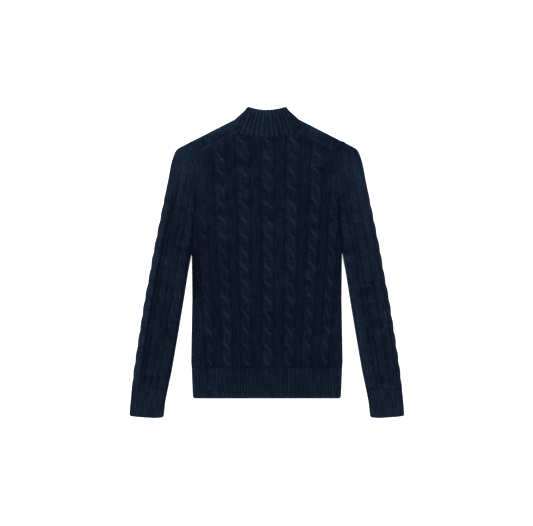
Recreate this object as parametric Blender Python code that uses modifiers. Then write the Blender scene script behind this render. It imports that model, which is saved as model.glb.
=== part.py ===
"""A half-zip cable-knit sweater, laid flat with its back up.

The wearer's back faces up and the zip lies underneath. X runs across the
garment, with the wearer's left at -X, Y runs from the hem to the collar and Z
up from the surface that it lies on. Sizes are in millimetres, and every solid
is scaled to metres where it is made.
"""

import math

import bmesh
import bpy
import numpy as np

METRES = 0.001

for old in list(bpy.data.objects):
    bpy.data.objects.remove(old)
parts = bpy.data.collections.new("half_zip_sweater")
cutters = bpy.data.collections.new("cutters")
for collection in (parts, cutters):
    bpy.context.scene.collection.children.link(collection)

# ---- Layers, from the surface up ----
FRONT_WALL = 3.4
LAYER_GAP = 0.7
BACK_INSIDE = FRONT_WALL + LAYER_GAP
BACK_WALL = 3.2
BACK_FACE = BACK_INSIDE + BACK_WALL
MIDDLE = FRONT_WALL + LAYER_GAP / 2
SEAM = 0.32
EDGE_ROUND = 4.0
EDGE_STEPS = (0.0, 0.5, 1.8, 4.0)
EDGE_LIP = 0.6

# ---- Knit relief ----
CABLE_RISE = 3.2
CABLE_REPEAT = 37.9
CABLE_SWING = 0.52
STRAND_HALF = 0.56
CABLE_CROWN = 0.3
CABLE_STARTS = 7.8
CABLE_LINES = (-0.66, -0.33, 0.0, 0.33, 0.66)
CABLE_FADE = 6.0
INSIDE_CLEAR = 9.0
STRAND_FLANK = 0.2
RIB_RISE = 1.5
RIB_DIP = 0.7

# ---- Body ----
HEM_BOTTOM = -326.0
HEM_SEAM = -253.0
BODY_HALF = 180.0
ARMPIT = 19.0
SHOULDER_LEVEL = 258.0
CABLE_LEVEL = -215.0
PATTERN_SHIFT = 1.5

# Half width of the flat body, up its side fold.
BODY_SIDE = [
    # level, half width
    (-326.0, 177.5),
    (-310.0, 178.4),
    (-253.0, 180.6),
    (-238.0, 181.8),
    (-172.0, 180.7),
    (-86.0, 179.2),
    (19.0, 180.2),
    (300.0, 180.2),
]

# Cables from the middle of the back out to one side.
BODY_CABLES = [
    # name, middle at the hem, width at the hem, middle at the shoulder, width at the shoulder
    ("centre", 0.0, 29.0, 0.0, 34.0),
    ("inner", 50.5, 26.5, 62.0, 35.0),
    ("outer", 96.5, 25.0, 119.5, 32.5),
    ("side", 139.2, 21.0, 168.0, 27.0),
]
RIBS_BETWEEN_CABLES = 3

# ---- Neck, shoulders and armholes ----
NECK_FOLD = (78.0, 342.6)
NECK_CORNER = (72.0, 312.0)
SHOULDER_SEAM_END = (169.5, 262.5)
SHOULDER_FOLD_END = (180.0, 290.6)
ARMHOLE = [
    # level, distance from the middle of the garment
    (19.0, 180.5),
    (50.0, 178.5),
    (110.0, 175.5),
    (180.0, 172.6),
    (235.0, 170.2),
    (262.5, 169.5),
    (290.6, 180.0),
]
BACK_NECK = [
    # distance from the middle, level
    (0.0, 301.0),
    (29.0, 301.4),
    (53.0, 305.9),
    (72.0, 312.0),
]
FRONT_NECK = [
    # distance from the middle, level
    (0.0, 272.0),
    (15.0, 272.8),
    (30.0, 277.0),
    (45.0, 286.0),
    (58.0, 300.0),
    (68.0, 317.0),
    (74.0, 331.0),
    (78.0, 342.6),
]

RETURN_LAP = 4.0
RETURN_SINK = 0.05
RETURN_STEPS = 6
FRONT_LINES = (76.5, 100.0, 130.0, 155.0, 169.5, 172.0)

# ---- Collar ----
COLLAR_APEX = 459.5
COLLAR_TOP = 373.3
COLLAR_BACK_DIP = 366.0
COLLAR_TOP_HALF = 43.2
COLLAR_FRONT_TOP = 342.0
COLLAR_LOWER_WALL = 3.6
COLLAR_INSIDE = 5.0
COLLAR_FACE = 7.8
COLLAR_RIB_RISE = 1.5
COLLAR_RIB_SPREAD = 0.0905
COLLAR_SIDE_LINES = 5
COLLAR_FOLD_DROP = 3.0
COLLAR_MIDDLE = (COLLAR_LOWER_WALL + COLLAR_INSIDE) / 2

# ---- Sleeves and cuffs ----
CUFF_SEAM = -303.0
SLEEVE_WIDTH = 86.0
UNDER_SHARES = (0.85, 0.625, 0.45, 0.25, 0.12)
SLEEVE_OUTER = [
    # level, distance of the outer fold from the middle of the garment
    (-373.3, 329.6),
    (-360.0, 329.3),
    (-345.0, 328.3),
    (-317.0, 325.6),
    (-303.0, 324.4),
    (-259.0, 319.4),
    (-173.0, 306.5),
    (-86.5, 292.8),
    (-29.0, 281.6),
    (28.7, 271.7),
    (86.0, 259.9),
    (144.0, 248.2),
    (201.5, 236.3),
    (230.3, 231.2),
    (244.7, 227.6),
    (259.1, 222.8),
    (268.0, 218.6),
    (273.5, 213.0),
    (281.0, 199.0),
    (290.6, 180.0),
]
SLEEVE_INNER = [
    # level, distance of the inner fold, or of its line carried on past the armpit
    (-373.3, 247.6),
    (-331.0, 242.8),
    (-303.0, 237.0),
    (-259.0, 227.6),
    (-173.0, 212.8),
    (-86.5, 198.4),
    (-29.0, 189.4),
    (19.0, 180.9),
    (291.0, 134.0),
]
SLEEVE_CABLES = [
    # name, middle and width as shares of the way from the outer to the inner fold
    ("outer", 0.095, 0.16),
    ("middle", 0.46, 0.20),
    ("inner", 0.80, 0.19),
]
SLEEVE_RIBS_BETWEEN = 2
SLEEVE_LEVELS = (-303, -238, -172, -86, -29, 19, 70, 120, 170, 210, 240, 256, 266, 273.5, 281, 287)
SLEEVE_INSIDE_LEVELS = (-303, -172, -29, 70, 170, 240, 262, 276)
CUFF_RIBS = 13
CUFF_RIB_RISE = 1.2
CUFF_END = [
    # share of the way from the outer to the inner fold, level
    (0.0, -366.5),
    (0.05, -368.5),
    (0.2, -370.2),
    (0.5, -372.0),
    (0.75, -373.3),
    (0.95, -371.8),
    (1.0, -369.0),
]

# ---- Hem ----
HEM_RIBS = 53
HEM_RIB_RISE = 1.2
HEM_CORNER = 6.0
HEM_FRONT_LINES = (-120.0, -60.0, 0.0, 60.0, 120.0)
END_ROUND = 2.5
END_DROP = 0.45

# ---- Zip ----
ZIP_OPENING_HALF = 5.0
ZIP_LENGTH_BELOW_NECK = 150.0
ZIP_BOTTOM = FRONT_NECK[0][1] - ZIP_LENGTH_BELOW_NECK
REBATE_HALF = 15.5
REBATE_FLOOR = 2.5
CHAIN_HALF = 2.5
CHAIN_LOW = 2.5
CHAIN_HIGH = 3.7
TAPE_OUTER = 14.5
TAPE_LOW = 2.85
TAPE_HIGH = 3.35
TAPE_TAIL = 12.0
SLIDER_HALF_WIDTH = 4.0
SLIDER_LENGTH = 9.0
SLIDER_LOW = 2.1
SLIDER_HIGH = 4.6
SLIDER_TOP_GAP = 4.0
CROWN_WIDTH = 2.0
CROWN_LENGTH = 5.2
CROWN_LOW = 0.3
CROWN_BAR = 0.5
CROWN_FOOT = 1.0
PULL_WIDTH = 5.0
PULL_LENGTH = 26.0
PULL_LOW = 0.85
PULL_HIGH = 1.7
EYE_START = 3.2
EYE_HALF = 1.3
PIN_LOW = 1.2
PIN_HIGH = 1.7
PIN_HALF = 0.25
TAPE_TOP_GAP = 2.0
CUTTER_REACH = 1.0
CUTTER_GAP = 0.3

# ---- Colours, as linear light ----
NAVY = (0.0075, 0.0125, 0.026)
ZIP_METAL = (0.045, 0.047, 0.05)

LEFT, RIGHT = -1, 1


class Column:
    """One line up a wall: points on the face that shows and on the plain inside."""

    def __init__(self, outer, inner, cable=None, lead=0.0):
        self.outer = outer
        self.inner = inner
        self.cable = cable
        self.lead = lead


def read(table, at, key=0, value=1):
    """Value at a place in a table, straight between its rows."""
    return float(np.interp(at, [row[key] for row in table], [row[value] for row in table]))


def edge_height(distance):
    """Share of the full height at a distance in from a rounded fold."""
    if distance >= EDGE_ROUND:
        return 1.0
    return math.sqrt(max(0.0, 1.0 - (1.0 - distance / EDGE_ROUND) ** 2))


def cable_height(across, repeats):
    """Height of a two-strand twist. across is -1 to 1 over its width."""
    height = CABLE_CROWN * (1.0 - across**4)
    for strand in (0, 1):
        turn = math.pi * (repeats + strand)
        offset = (across - CABLE_SWING * math.cos(turn)) / STRAND_HALF
        if abs(offset) < 1.0:
            lift = 0.62 + 0.38 * math.sin(turn)
            height = max(height, lift * math.sqrt(1.0 - offset**2))
    return CABLE_RISE * height * (1.0 - across**8)


def strand_middle(across):
    """Repeats up the cable at which a crossing strand passes a place across it."""
    return math.acos(max(-1.0, min(1.0, across / CABLE_SWING))) / math.pi


def cable_levels(low, high, across):
    """Levels of the rows that a cable needs: each strand's two flanks and the groove."""
    lead = strand_middle(across) * CABLE_REPEAT
    first = math.floor((low - CABLE_STARTS) / CABLE_REPEAT) - 1
    last = math.ceil((high - CABLE_STARTS) / CABLE_REPEAT) + 1
    levels = []
    for repeat in range(first, last):
        start = CABLE_STARTS + repeat * CABLE_REPEAT + lead
        for share in (-STRAND_FLANK, STRAND_FLANK, 0.5):
            levels.append(start + share * CABLE_REPEAT)
    return [level for level in levels if low + 1.5 < level < high - 1.5], lead


def join_lines(faces, left, right, left_keys, right_keys):
    """Triangles between two lines of points, each step up the line that lags."""
    i = j = 0
    while i < len(left) - 1 or j < len(right) - 1:
        if j == len(right) - 1:
            take_left = True
        elif i == len(left) - 1:
            take_left = False
        else:
            take_left = left_keys[i + 1] <= right_keys[j + 1]
        if take_left:
            faces.append((left[i], right[j], left[i + 1]))
            i += 1
        else:
            faces.append((left[i], right[j], right[j + 1]))
            j += 1


def keys(verts, line, lead, by_step):
    """What the points of a line are matched by: their step, or their level less a lead."""
    if by_step:
        return list(range(len(line)))
    return [verts[v][1] - lead for v in line]


def wall(name, columns, material, closed=False, by_step=False, cutter=False):
    """One closed wall through its columns. closed joins the last to the first.

    Neighbours are joined level by level, or by_step where their points match in number.
    """
    verts = []
    faces = []
    outer = []
    inner = []
    for column in columns:
        for points, lines in ((column.outer, outer), (column.inner, inner)):
            lines.append(range(len(verts), len(verts) + len(points)))
            verts += points
    pairs = [(i, i + 1) for i in range(len(columns) - 1)]
    if closed:
        pairs.append((len(columns) - 1, 0))
    for a, b in pairs:
        same_cable = columns[a].cable is not None and columns[a].cable == columns[b].cable
        leads = (columns[a].lead, columns[b].lead) if same_cable else (0.0, 0.0)
        sides = [outer[a], outer[b]]
        join_lines(faces, *sides, *[keys(verts, s, lead, by_step) for s, lead in zip(sides, leads)])
        sides = [inner[b], inner[a]]
        join_lines(faces, *sides, *[keys(verts, s, 0.0, by_step) for s in sides])
        faces.append((outer[a][0], inner[a][0], inner[b][0], outer[b][0]))
        faces.append((outer[b][-1], inner[b][-1], inner[a][-1], outer[a][-1]))
    if not closed:
        for i, sides in ((0, (inner[0], outer[0])), (-1, (outer[-1], inner[-1]))):
            along = [[k / (len(s) - 1) for k in range(len(s))] for s in sides]
            join_lines(faces, *sides, *along)
    mesh = bpy.data.meshes.new(name)
    mesh.from_pydata([[c * METRES for c in point] for point in verts], [], faces)
    shape = bmesh.new()
    shape.from_mesh(mesh)
    bmesh.ops.recalc_face_normals(shape, faces=shape.faces)
    shape.to_mesh(mesh)
    shape.free()
    mesh.materials.append(material)
    obj = bpy.data.objects.new(name, mesh)
    parts.objects.link(obj)
    collect(obj, cutter)
    return obj


def finish(name, colour, roughness, metallic=0.0):
    material = bpy.data.materials.new(name)
    material.use_nodes = True
    shader = material.node_tree.nodes["Principled BSDF"]
    shader.inputs["Base Color"].default_value = (*colour, 1.0)
    shader.inputs["Roughness"].default_value = roughness
    shader.inputs["Metallic"].default_value = metallic
    return material


# ------------------------------------------------------------ lines across a panel


class Line:
    """A line that runs up a panel: its place, and what kind of knitting it marks."""

    def __init__(self, place, kind, cable=None, across=0.0):
        self.place = place
        self.kind = kind
        self.cable = cable
        self.across = across


def blend(a, b, share):
    return tuple(x + (y - x) * share for x, y in zip(a, b))


def rib_lines(start, end, ribs):
    """Crests of the ribs between two lines, with the dips between them."""
    lines = []
    for step in range(1, 2 * ribs):
        kind = "crest" if step % 2 else "dip"
        lines.append(Line(blend(start, end, step / (2.0 * ribs)), kind))
    return lines


def bands(cables, start, end, ribs):
    """Ribs and cables in turn between two lines. cables holds (name, low edge, high edge)."""
    lines = []
    previous = start
    for name, low, high in cables:
        lines += rib_lines(previous, low, ribs)
        lines.append(Line(low, "cable", name, -1.0))
        for across in CABLE_LINES:
            lines.append(Line(blend(low, high, (across + 1.0) / 2.0), "cable", name, across))
        lines.append(Line(high, "cable", name, 1.0))
        previous = high
    return lines + rib_lines(previous, end, ribs)


def knit_rise(line, level, low, high):
    """Height of the knitting over the plain face, fading at a cable's two ends."""
    if line.kind == "crest":
        return RIB_RISE
    if line.kind == "dip":
        return RIB_DIP
    if line.kind == "cable":
        fade = min(1.0, (level - low) / CABLE_FADE, (high - level) / CABLE_FADE)
        return fade * cable_height(line.across, (level - CABLE_STARTS) / CABLE_REPEAT)
    return 0.0


def plain_levels(low, high, rows, clear=4.0):
    """Two ends and the rows that lie clear between them."""
    return [low] + [row for row in rows if low + clear < row < high - clear] + [high]


def line_levels(line, low, high, rows):
    """Levels of a line's points between its two ends, and its lead up a cable."""
    if line.kind == "cable":
        levels, lead = cable_levels(low, high, line.across)
        return [low] + levels + [high], lead
    return plain_levels(low, high, rows), 0.0


# ------------------------------------------------------------------- body panels


def body_x(place, level):
    """A body line's distance from the middle. Its place is given at hem and shoulder."""
    share = (level - CABLE_LEVEL) / (SHOULDER_LEVEL - CABLE_LEVEL)
    straight = place[0] + (place[1] - place[0]) * share
    return straight * read(BODY_SIDE, level) / BODY_HALF


def slope(start, end, x):
    return start[1] + (x - start[0]) * (end[1] - start[1]) / (end[0] - start[0])


def back_limit(x):
    """Highest level of the back panel at a distance from the middle."""
    x = abs(x)
    if x <= NECK_CORNER[0]:
        return read(BACK_NECK, x) - SEAM / 2
    if x <= SHOULDER_SEAM_END[0]:
        return slope(NECK_CORNER, SHOULDER_SEAM_END, x) - SEAM
    return read([(d, level) for level, d in ARMHOLE[-2::-1]], x) - SEAM


def front_limit(x):
    """Highest level of the front panel's lower layer: neck, shoulder fold or armhole."""
    x = abs(x)
    if x <= NECK_FOLD[0]:
        return read(FRONT_NECK, x) - SEAM
    fold = slope(NECK_FOLD, SHOULDER_FOLD_END, x) - RETURN_LAP
    return fold if x <= SHOULDER_SEAM_END[0] else min(fold, back_limit(x))


def above_hem(x):
    """Level of a panel's lower edge, which is straight all the way across."""
    return HEM_SEAM + SEAM / 2


def hem_end(x):
    """Level of the hem's lower edge, which is rounded at its two corners."""
    corner = (abs(x) - BODY_SIDE[0][1] + HEM_CORNER) / HEM_CORNER
    corner = min(1.0, max(0.0, corner))
    return HEM_BOTTOM + HEM_CORNER * (1.0 - math.sqrt(1.0 - corner**2))


def highest(place, limit):
    """Level at which a body line meets the panel's upper edge."""
    low, high = 0.0, 400.0
    for _ in range(40):
        level = (low + high) / 2.0
        if level < limit(body_x(place, level)):
            low = level
        else:
            high = level
    return low


def panel_lines(middle):
    """Lines across the body between its two side folds, with rounded edges."""
    sides = [Line((BODY_HALF - step,) * 2, "edge", None, step) for step in EDGE_STEPS]
    left = [Line((-BODY_HALF + step,) * 2, "edge", None, step) for step in EDGE_STEPS]
    return left + middle + sides[::-1]


def panel_height(line, rise, upper):
    """Height of a body panel's showing face. The front's is the flat underside."""
    round_off = edge_height(line.across) if line.kind == "edge" else 1.0
    if upper:
        foot = MIDDLE + EDGE_LIP
        return foot + (BACK_FACE - foot) * round_off + rise
    return (MIDDLE - EDGE_LIP) * (1.0 - round_off)


def inside_height(line, upper):
    if line.kind == "edge" and line.across == 0.0:
        return MIDDLE + SEAM / 2 if upper else MIDDLE - SEAM / 2
    return BACK_INSIDE if upper else FRONT_WALL


def panel(name, lines, bottom, limit, upper, material, end_round=0.0):
    """One body panel: bottom and limit give its lower and upper ends."""
    columns = []
    rows = [level for level, _ in BODY_SIDE]
    for line in lines:
        low = bottom(body_x(line.place, HEM_BOTTOM))
        high = highest(line.place, limit) if limit else HEM_SEAM - SEAM / 2
        levels, lead = line_levels(line, low, high, rows)
        heights = []
        for level in levels:
            rise = hem_rise(line) if end_round else knit_rise(line, level, low, high)
            heights.append(panel_height(line, rise, upper))
        if end_round:
            levels.insert(1, low + end_round)
            heights.insert(1, heights[0])
            heights[0] += (MIDDLE - heights[0]) * END_DROP
        points = [(body_x(line.place, level), level) for level in levels]
        outer = [(x, level, height) for (x, level), height in zip(points, heights)]
        inside = inside_height(line, upper)
        inside_levels = plain_levels(low, high, rows, INSIDE_CLEAR)
        inner = [(body_x(line.place, level), level, inside) for level in inside_levels]
        columns.append(Column(outer, inner, line.cable, lead))
    return wall(name, columns, material)


def hem_rise(line):
    return HEM_RIB_RISE if line.kind == "crest" else 0.0


def back_panel(material):
    cables = []
    for side in (LEFT, RIGHT):
        for name, low, low_width, high, high_width in BODY_CABLES:
            if name == "centre" and side == LEFT:
                continue
            ends = []
            for edge in (-0.5, 0.5):
                hem = side * low + edge * low_width + PATTERN_SHIFT
                shoulder = side * high + edge * high_width + PATTERN_SHIFT
                ends.append((hem, shoulder))
            cables.append((f"{name}{side}", *ends))
    cables.sort(key=lambda cable: cable[1])
    inset = BODY_HALF - EDGE_ROUND
    middle = bands(cables, (-inset, -inset), (inset, inset), RIBS_BETWEEN_CABLES)
    panel("back_panel", panel_lines(middle), above_hem, back_limit, True, material)


def front_panel(material):
    """The lower layer with its shoulder returns, cut open for the zip."""
    places = {row[0] for row in FRONT_NECK[1:]} | set(FRONT_LINES)
    places = sorted({side * place for side in (LEFT, RIGHT) for place in places} | {0.0})
    middle = [Line((place, place), "plain") for place in places]
    front = panel("front_panel", panel_lines(middle), above_hem, front_limit, False, material)
    for side in (LEFT, RIGHT):
        join(front, shoulder_return(side, material), "UNION")
    join(front, zip_opening("front_zip_opening", ZIP_BOTTOM), "DIFFERENCE")
    join(front, zip_rebate("front_zip_rebate"), "DIFFERENCE")


def shoulder_return(side, material):
    """The front's strip that folds over the shoulder and meets the back behind it."""
    columns = []
    for step in range(RETURN_STEPS + 1):
        share = step / RETURN_STEPS
        fold = blend(NECK_FOLD, SHOULDER_FOLD_END, share)
        seam = blend(NECK_CORNER, SHOULDER_SEAM_END, share)
        length = math.dist(fold, seam)
        under = [(length, RETURN_SINK), (EDGE_ROUND, RETURN_SINK)]
        under += [(d, MIDDLE * (1.0 - edge_height(d))) for d in EDGE_STEPS[-2::-1]]
        over = [(d, MIDDLE + (BACK_FACE - MIDDLE) * edge_height(d)) for d in EDGE_STEPS[1:]]
        outer = under + over + [(length, BACK_FACE)]
        inner = [(length, FRONT_WALL - RETURN_SINK), (FRONT_WALL, FRONT_WALL)]
        inner += [(FRONT_WALL, BACK_INSIDE), (length, BACK_INSIDE)]
        paths = []
        for path in (outer, inner):
            points = [(*blend(fold, seam, d / length), height) for d, height in path]
            paths.append([(side * x, y, z) for x, y, z in points])
        columns.append(Column(*paths))
    return wall(f"shoulder_return_{side}", columns, material, by_step=True, cutter=True)


def hem(material):
    inset = BODY_HALF - EDGE_ROUND
    ribs = panel_lines(rib_lines((-inset, -inset), (inset, inset), HEM_RIBS))
    plain = panel_lines([Line((place, place), "plain") for place in HEM_FRONT_LINES])
    panel("hem_rib_back", ribs, hem_end, None, True, material, END_ROUND)
    panel("hem_rib_front", plain, hem_end, None, False, material, END_ROUND)


# -------------------------------------------------------------- sleeves and cuffs


def sleeve_x(place, level, shrink=0.0):
    """Distance of a sleeve line from the middle. A place is (share across, inset)."""
    outer = read(SLEEVE_OUTER, level)
    inner = read(SLEEVE_INNER, level)
    x = outer + (inner - outer) * place[0] - place[1]
    middle = (outer + inner) / 2.0
    return middle + (x - middle) * (1.0 - 2.0 * shrink / (outer - inner))


def sleeve_top(place, shrink=0.0):
    """Level at which a sleeve line meets the armhole seam."""
    level = ARMPIT - 1.0
    step = 4.0
    while step > 0.001:
        beyond = level + step
        inside = sleeve_x(place, beyond, shrink) > read(ARMHOLE, beyond) + SEAM
        if inside and beyond < SHOULDER_FOLD_END[1]:
            level = beyond
        else:
            step /= 2.0
    return level


def tube_ring(top_lines, under_shares):
    """Lines all round a flattened tube: over the top, then back under it."""
    first = [Line((0.0, step), "edge", None, step) for step in EDGE_STEPS]
    last = [Line((1.0, -step), "edge", None, step) for step in EDGE_STEPS]
    under = [Line((1.0, -step), "under", None, step) for step in EDGE_STEPS[1:]]
    under += [Line((share, 0.0), "under", None, EDGE_ROUND) for share in under_shares]
    under += [Line((0.0, step), "under", None, step) for step in EDGE_STEPS[:0:-1]]
    return first + top_lines + last[::-1] + under


def tube_height(line, rise):
    if line.kind == "under":
        return MIDDLE * (1.0 - edge_height(line.across))
    round_off = edge_height(line.across) if line.kind == "edge" else 1.0
    return MIDDLE + (BACK_FACE - MIDDLE) * round_off + rise


def tube_inside(line):
    if line.kind == "edge" and line.across == 0.0:
        return MIDDLE
    return FRONT_WALL if line.kind == "under" else BACK_INSIDE


def sleeve(name, side, material):
    cables = []
    for cable, middle, width in SLEEVE_CABLES:
        low, high = middle - width / 2.0, middle + width / 2.0
        cables.append((f"{cable}", (low, 0.0), (high, 0.0)))
    inset = EDGE_ROUND / SLEEVE_WIDTH
    start, end = cables[0][1], (1.0 - inset, 0.0)
    lines = bands(cables, start, end, SLEEVE_RIBS_BETWEEN)
    lines = [line for line in lines if line.place[0] > inset]
    columns = []
    for line in tube_ring(lines, UNDER_SHARES):
        if line.kind == "cable":
            line.across *= -side
        top = sleeve_top(line.place)
        levels, lead = line_levels(line, CUFF_SEAM, top, SLEEVE_LEVELS)
        outer = []
        for level in levels:
            height = tube_height(line, knit_rise(line, level, CUFF_SEAM, top))
            outer.append((side * sleeve_x(line.place, level), level, height))
        top = sleeve_top(line.place, FRONT_WALL)
        inner = []
        for level in plain_levels(CUFF_SEAM, top, SLEEVE_INSIDE_LEVELS):
            x = side * sleeve_x(line.place, level, FRONT_WALL)
            inner.append((x, level, tube_inside(line)))
        columns.append(Column(outer, inner, line.cable, lead))
    return wall(name, columns, material, closed=True)


def cuff(name, side, material):
    inset = EDGE_ROUND / SLEEVE_WIDTH
    lines = rib_lines((inset, 0.0), (1.0 - inset, 0.0), CUFF_RIBS)
    columns = []
    for line in tube_ring(lines, UNDER_SHARES):
        end = read(CUFF_END, line.place[0] + line.place[1] / SLEEVE_WIDTH)
        rise = CUFF_RIB_RISE if line.kind == "crest" else 0.0
        height = tube_height(line, rise)
        lowered = height + (MIDDLE - height) * END_DROP
        top = CUFF_SEAM - SEAM
        outer = []
        for level, z in ((end, lowered), (end + END_ROUND, height), (top, height)):
            outer.append((side * sleeve_x(line.place, level), level, z))
        inner = []
        for level in (end, top):
            x = side * sleeve_x(line.place, level, FRONT_WALL)
            inner.append((x, level, tube_inside(line)))
        columns.append(Column(outer, inner))
    return wall(name, columns, material, closed=True)


# ------------------------------------------------------------------------- collar


def collar_top(x):
    """Level of the collar's upper edge at the back, lower in the middle."""
    share = min(1.0, abs(x) / COLLAR_TOP_HALF)
    return COLLAR_BACK_DIP + (COLLAR_TOP - COLLAR_BACK_DIP) * share**2


def fan_line(spread, limit, start):
    """Where a rib that fans out from the collar's apex meets a level that varies."""
    level = start
    for _ in range(20):
        level = limit(spread * (COLLAR_APEX - level))
    return spread * (COLLAR_APEX - level), level


def collar_back_lines():
    """Base and top of each line over the back of the collar, from the left fold."""
    def base_limit(x):
        return read(BACK_NECK, abs(x)) + SEAM / 2

    widest = NECK_CORNER[0] / (COLLAR_APEX - NECK_CORNER[1])
    middle = []
    steps = int(widest / (COLLAR_RIB_SPREAD / 4.0))
    for step in range(-steps, steps + 1):
        spread = step * COLLAR_RIB_SPREAD / 4.0
        base = fan_line(spread, base_limit, NECK_CORNER[1])
        top = fan_line(spread, collar_top, COLLAR_TOP)
        middle.append((base, top, "back", spread))
    sides = []
    corner, fold = [(x - SEAM, level + SEAM / 2) for x, level in (NECK_CORNER, NECK_FOLD)]
    last_top = middle[-1][1]
    for step in range(COLLAR_SIDE_LINES + 1):
        base = blend(corner, fold, step / COLLAR_SIDE_LINES)
        share = (step + 1) / (COLLAR_SIDE_LINES + 1)
        top = blend(last_top, (COLLAR_TOP_HALF, COLLAR_TOP), share)
        spread = base[0] / (COLLAR_APEX - base[1])
        sides.append((base, top, "back", spread))
    sides[-1] = (fold, (COLLAR_TOP_HALF, COLLAR_TOP), "fold", 0.0)
    mirrored = [(flip(base), flip(top), kind, s) for base, top, kind, s in sides[::-1]]
    return mirrored + middle + sides


def flip(point):
    return (-point[0], *point[1:])


def collar_front_lines():
    """Base and top of the lines under the garment, from the fold to the zip."""
    lines = []
    bases = [row for row in FRONT_NECK[::-1] if row[0] > ZIP_OPENING_HALF]
    bases = bases[1:] + [(ZIP_OPENING_HALF, read(FRONT_NECK, ZIP_OPENING_HALF))]
    for x, level in bases:
        share = (NECK_FOLD[0] - x) / (NECK_FOLD[0] - ZIP_OPENING_HALF)
        top_x = COLLAR_TOP_HALF + (ZIP_OPENING_HALF - COLLAR_TOP_HALF) * share
        top = COLLAR_FRONT_TOP + (COLLAR_TOP - COLLAR_FRONT_TOP) * (top_x / COLLAR_TOP_HALF) ** 2
        lines.append(((x, level), (top_x, top), "front", 0.0))
    return lines


def collar(material):
    """One strip from one side of the zip, round the back of the neck, to the other."""
    front = collar_front_lines()
    left = [(flip(base), flip(top), kind, s) for base, top, kind, s in front[::-1]]
    columns = []
    for base, top, kind, spread in left + collar_back_lines() + front:
        face, inside = {
            "back": (COLLAR_FACE, COLLAR_INSIDE),
            "fold": (COLLAR_MIDDLE, COLLAR_MIDDLE),
            "front": (0.0, COLLAR_LOWER_WALL),
        }[kind]
        if kind == "back":
            crest = 0.5 + 0.5 * math.cos(2.0 * math.pi * spread / COLLAR_RIB_SPREAD)
            face += COLLAR_RIB_RISE * crest
        near_top = blend(top, base, END_ROUND / math.dist(base, top))
        lowered = face + (COLLAR_MIDDLE - face) * END_DROP
        outer = [(*base, face), (*near_top, face), (*top, lowered)]
        drawn_in = [base, top]
        if kind == "fold":
            pull = 1.0 - COLLAR_LOWER_WALL / COLLAR_TOP_HALF
            drops = (0.0, COLLAR_FOLD_DROP)
            drawn_in = [(x * pull, y - drop) for (x, y), drop in zip((base, top), drops)]
        inner = [(*point, inside) for point in drawn_in]
        columns.append(Column(outer, inner))
    strip = wall("collar", columns, material, by_step=True)
    join(strip, zip_rebate("collar_zip_rebate"), "DIFFERENCE")
    return strip


# ---------------------------------------------------------------------------- zip


def box(name, low, high, material=None, bevel=0.0, cutter=False):
    """A box between two corners, in millimetres."""
    middle = [(a + b) / 2.0 * METRES for a, b in zip(low, high)]
    bpy.ops.mesh.primitive_cube_add(size=1.0, location=middle)
    obj = bpy.context.object
    obj.name = name
    obj.data.name = name
    obj.scale = [(b - a) * METRES for a, b in zip(low, high)]
    bpy.ops.object.transform_apply(location=False, rotation=False, scale=True)
    if bevel:
        rounding = obj.modifiers.new("rounded edges", "BEVEL")
        rounding.width = bevel * METRES
        rounding.segments = 2
    if material:
        obj.data.materials.append(material)
    collect(obj, cutter)
    return obj


def collect(obj, cutter=False):
    """Put an object in the collection of parts, or hide it among the cutters."""
    for collection in obj.users_collection:
        collection.objects.unlink(obj)
    (cutters if cutter else parts).objects.link(obj)
    if cutter:
        obj.hide_render = True
        obj.display_type = "WIRE"


def join(obj, other, operation):
    """Add a Boolean with another object, which stays among the cutters."""
    cut = obj.modifiers.new(other.name, "BOOLEAN")
    cut.operation = operation
    cut.object = other
    cut.solver = "EXACT"


def zip_opening(name, bottom):
    low = (-ZIP_OPENING_HALF, bottom, -CUTTER_REACH)
    high = (ZIP_OPENING_HALF, COLLAR_TOP, FRONT_WALL + CUTTER_REACH)
    return box(name, low, high, cutter=True)


def zip_rebate(name):
    """The thinner strip beside the zip, where its tape lies inside the wall."""
    low = (-REBATE_HALF, ZIP_BOTTOM - TAPE_TAIL - SEAM, REBATE_FLOOR)
    high = (REBATE_HALF, COLLAR_TOP, COLLAR_INSIDE - CUTTER_GAP)
    return box(name, low, high, cutter=True)


def zip_parts(tape, metal):
    slider_high = COLLAR_FRONT_TOP - SLIDER_TOP_GAP
    slider_low = slider_high - SLIDER_LENGTH
    chain_low = (-CHAIN_HALF, ZIP_BOTTOM + SEAM, CHAIN_LOW)
    chain_high = (CHAIN_HALF, slider_low - SEAM, CHAIN_HIGH)
    box("zip_chain", chain_low, chain_high, metal)
    notch_low = (-SLIDER_HALF_WIDTH - SEAM, slider_low - SEAM, 0.0)
    notch_high = (SLIDER_HALF_WIDTH + SEAM, COLLAR_TOP, COLLAR_INSIDE)
    notch = box("tape_notch", notch_low, notch_high, cutter=True)
    for name, side in (("zip_tape_left", LEFT), ("zip_tape_right", RIGHT)):
        near, far = sorted((side * (CHAIN_HALF + SEAM), side * TAPE_OUTER))
        low = (near, ZIP_BOTTOM - TAPE_TAIL, TAPE_LOW)
        high = (far, COLLAR_FRONT_TOP - TAPE_TOP_GAP, TAPE_HIGH)
        join(box(name, low, high, tape), notch, "DIFFERENCE")
    middle = (slider_low + slider_high) / 2.0
    slider(middle, slider_low, slider_high, metal)
    pull_tab(middle, metal)


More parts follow.
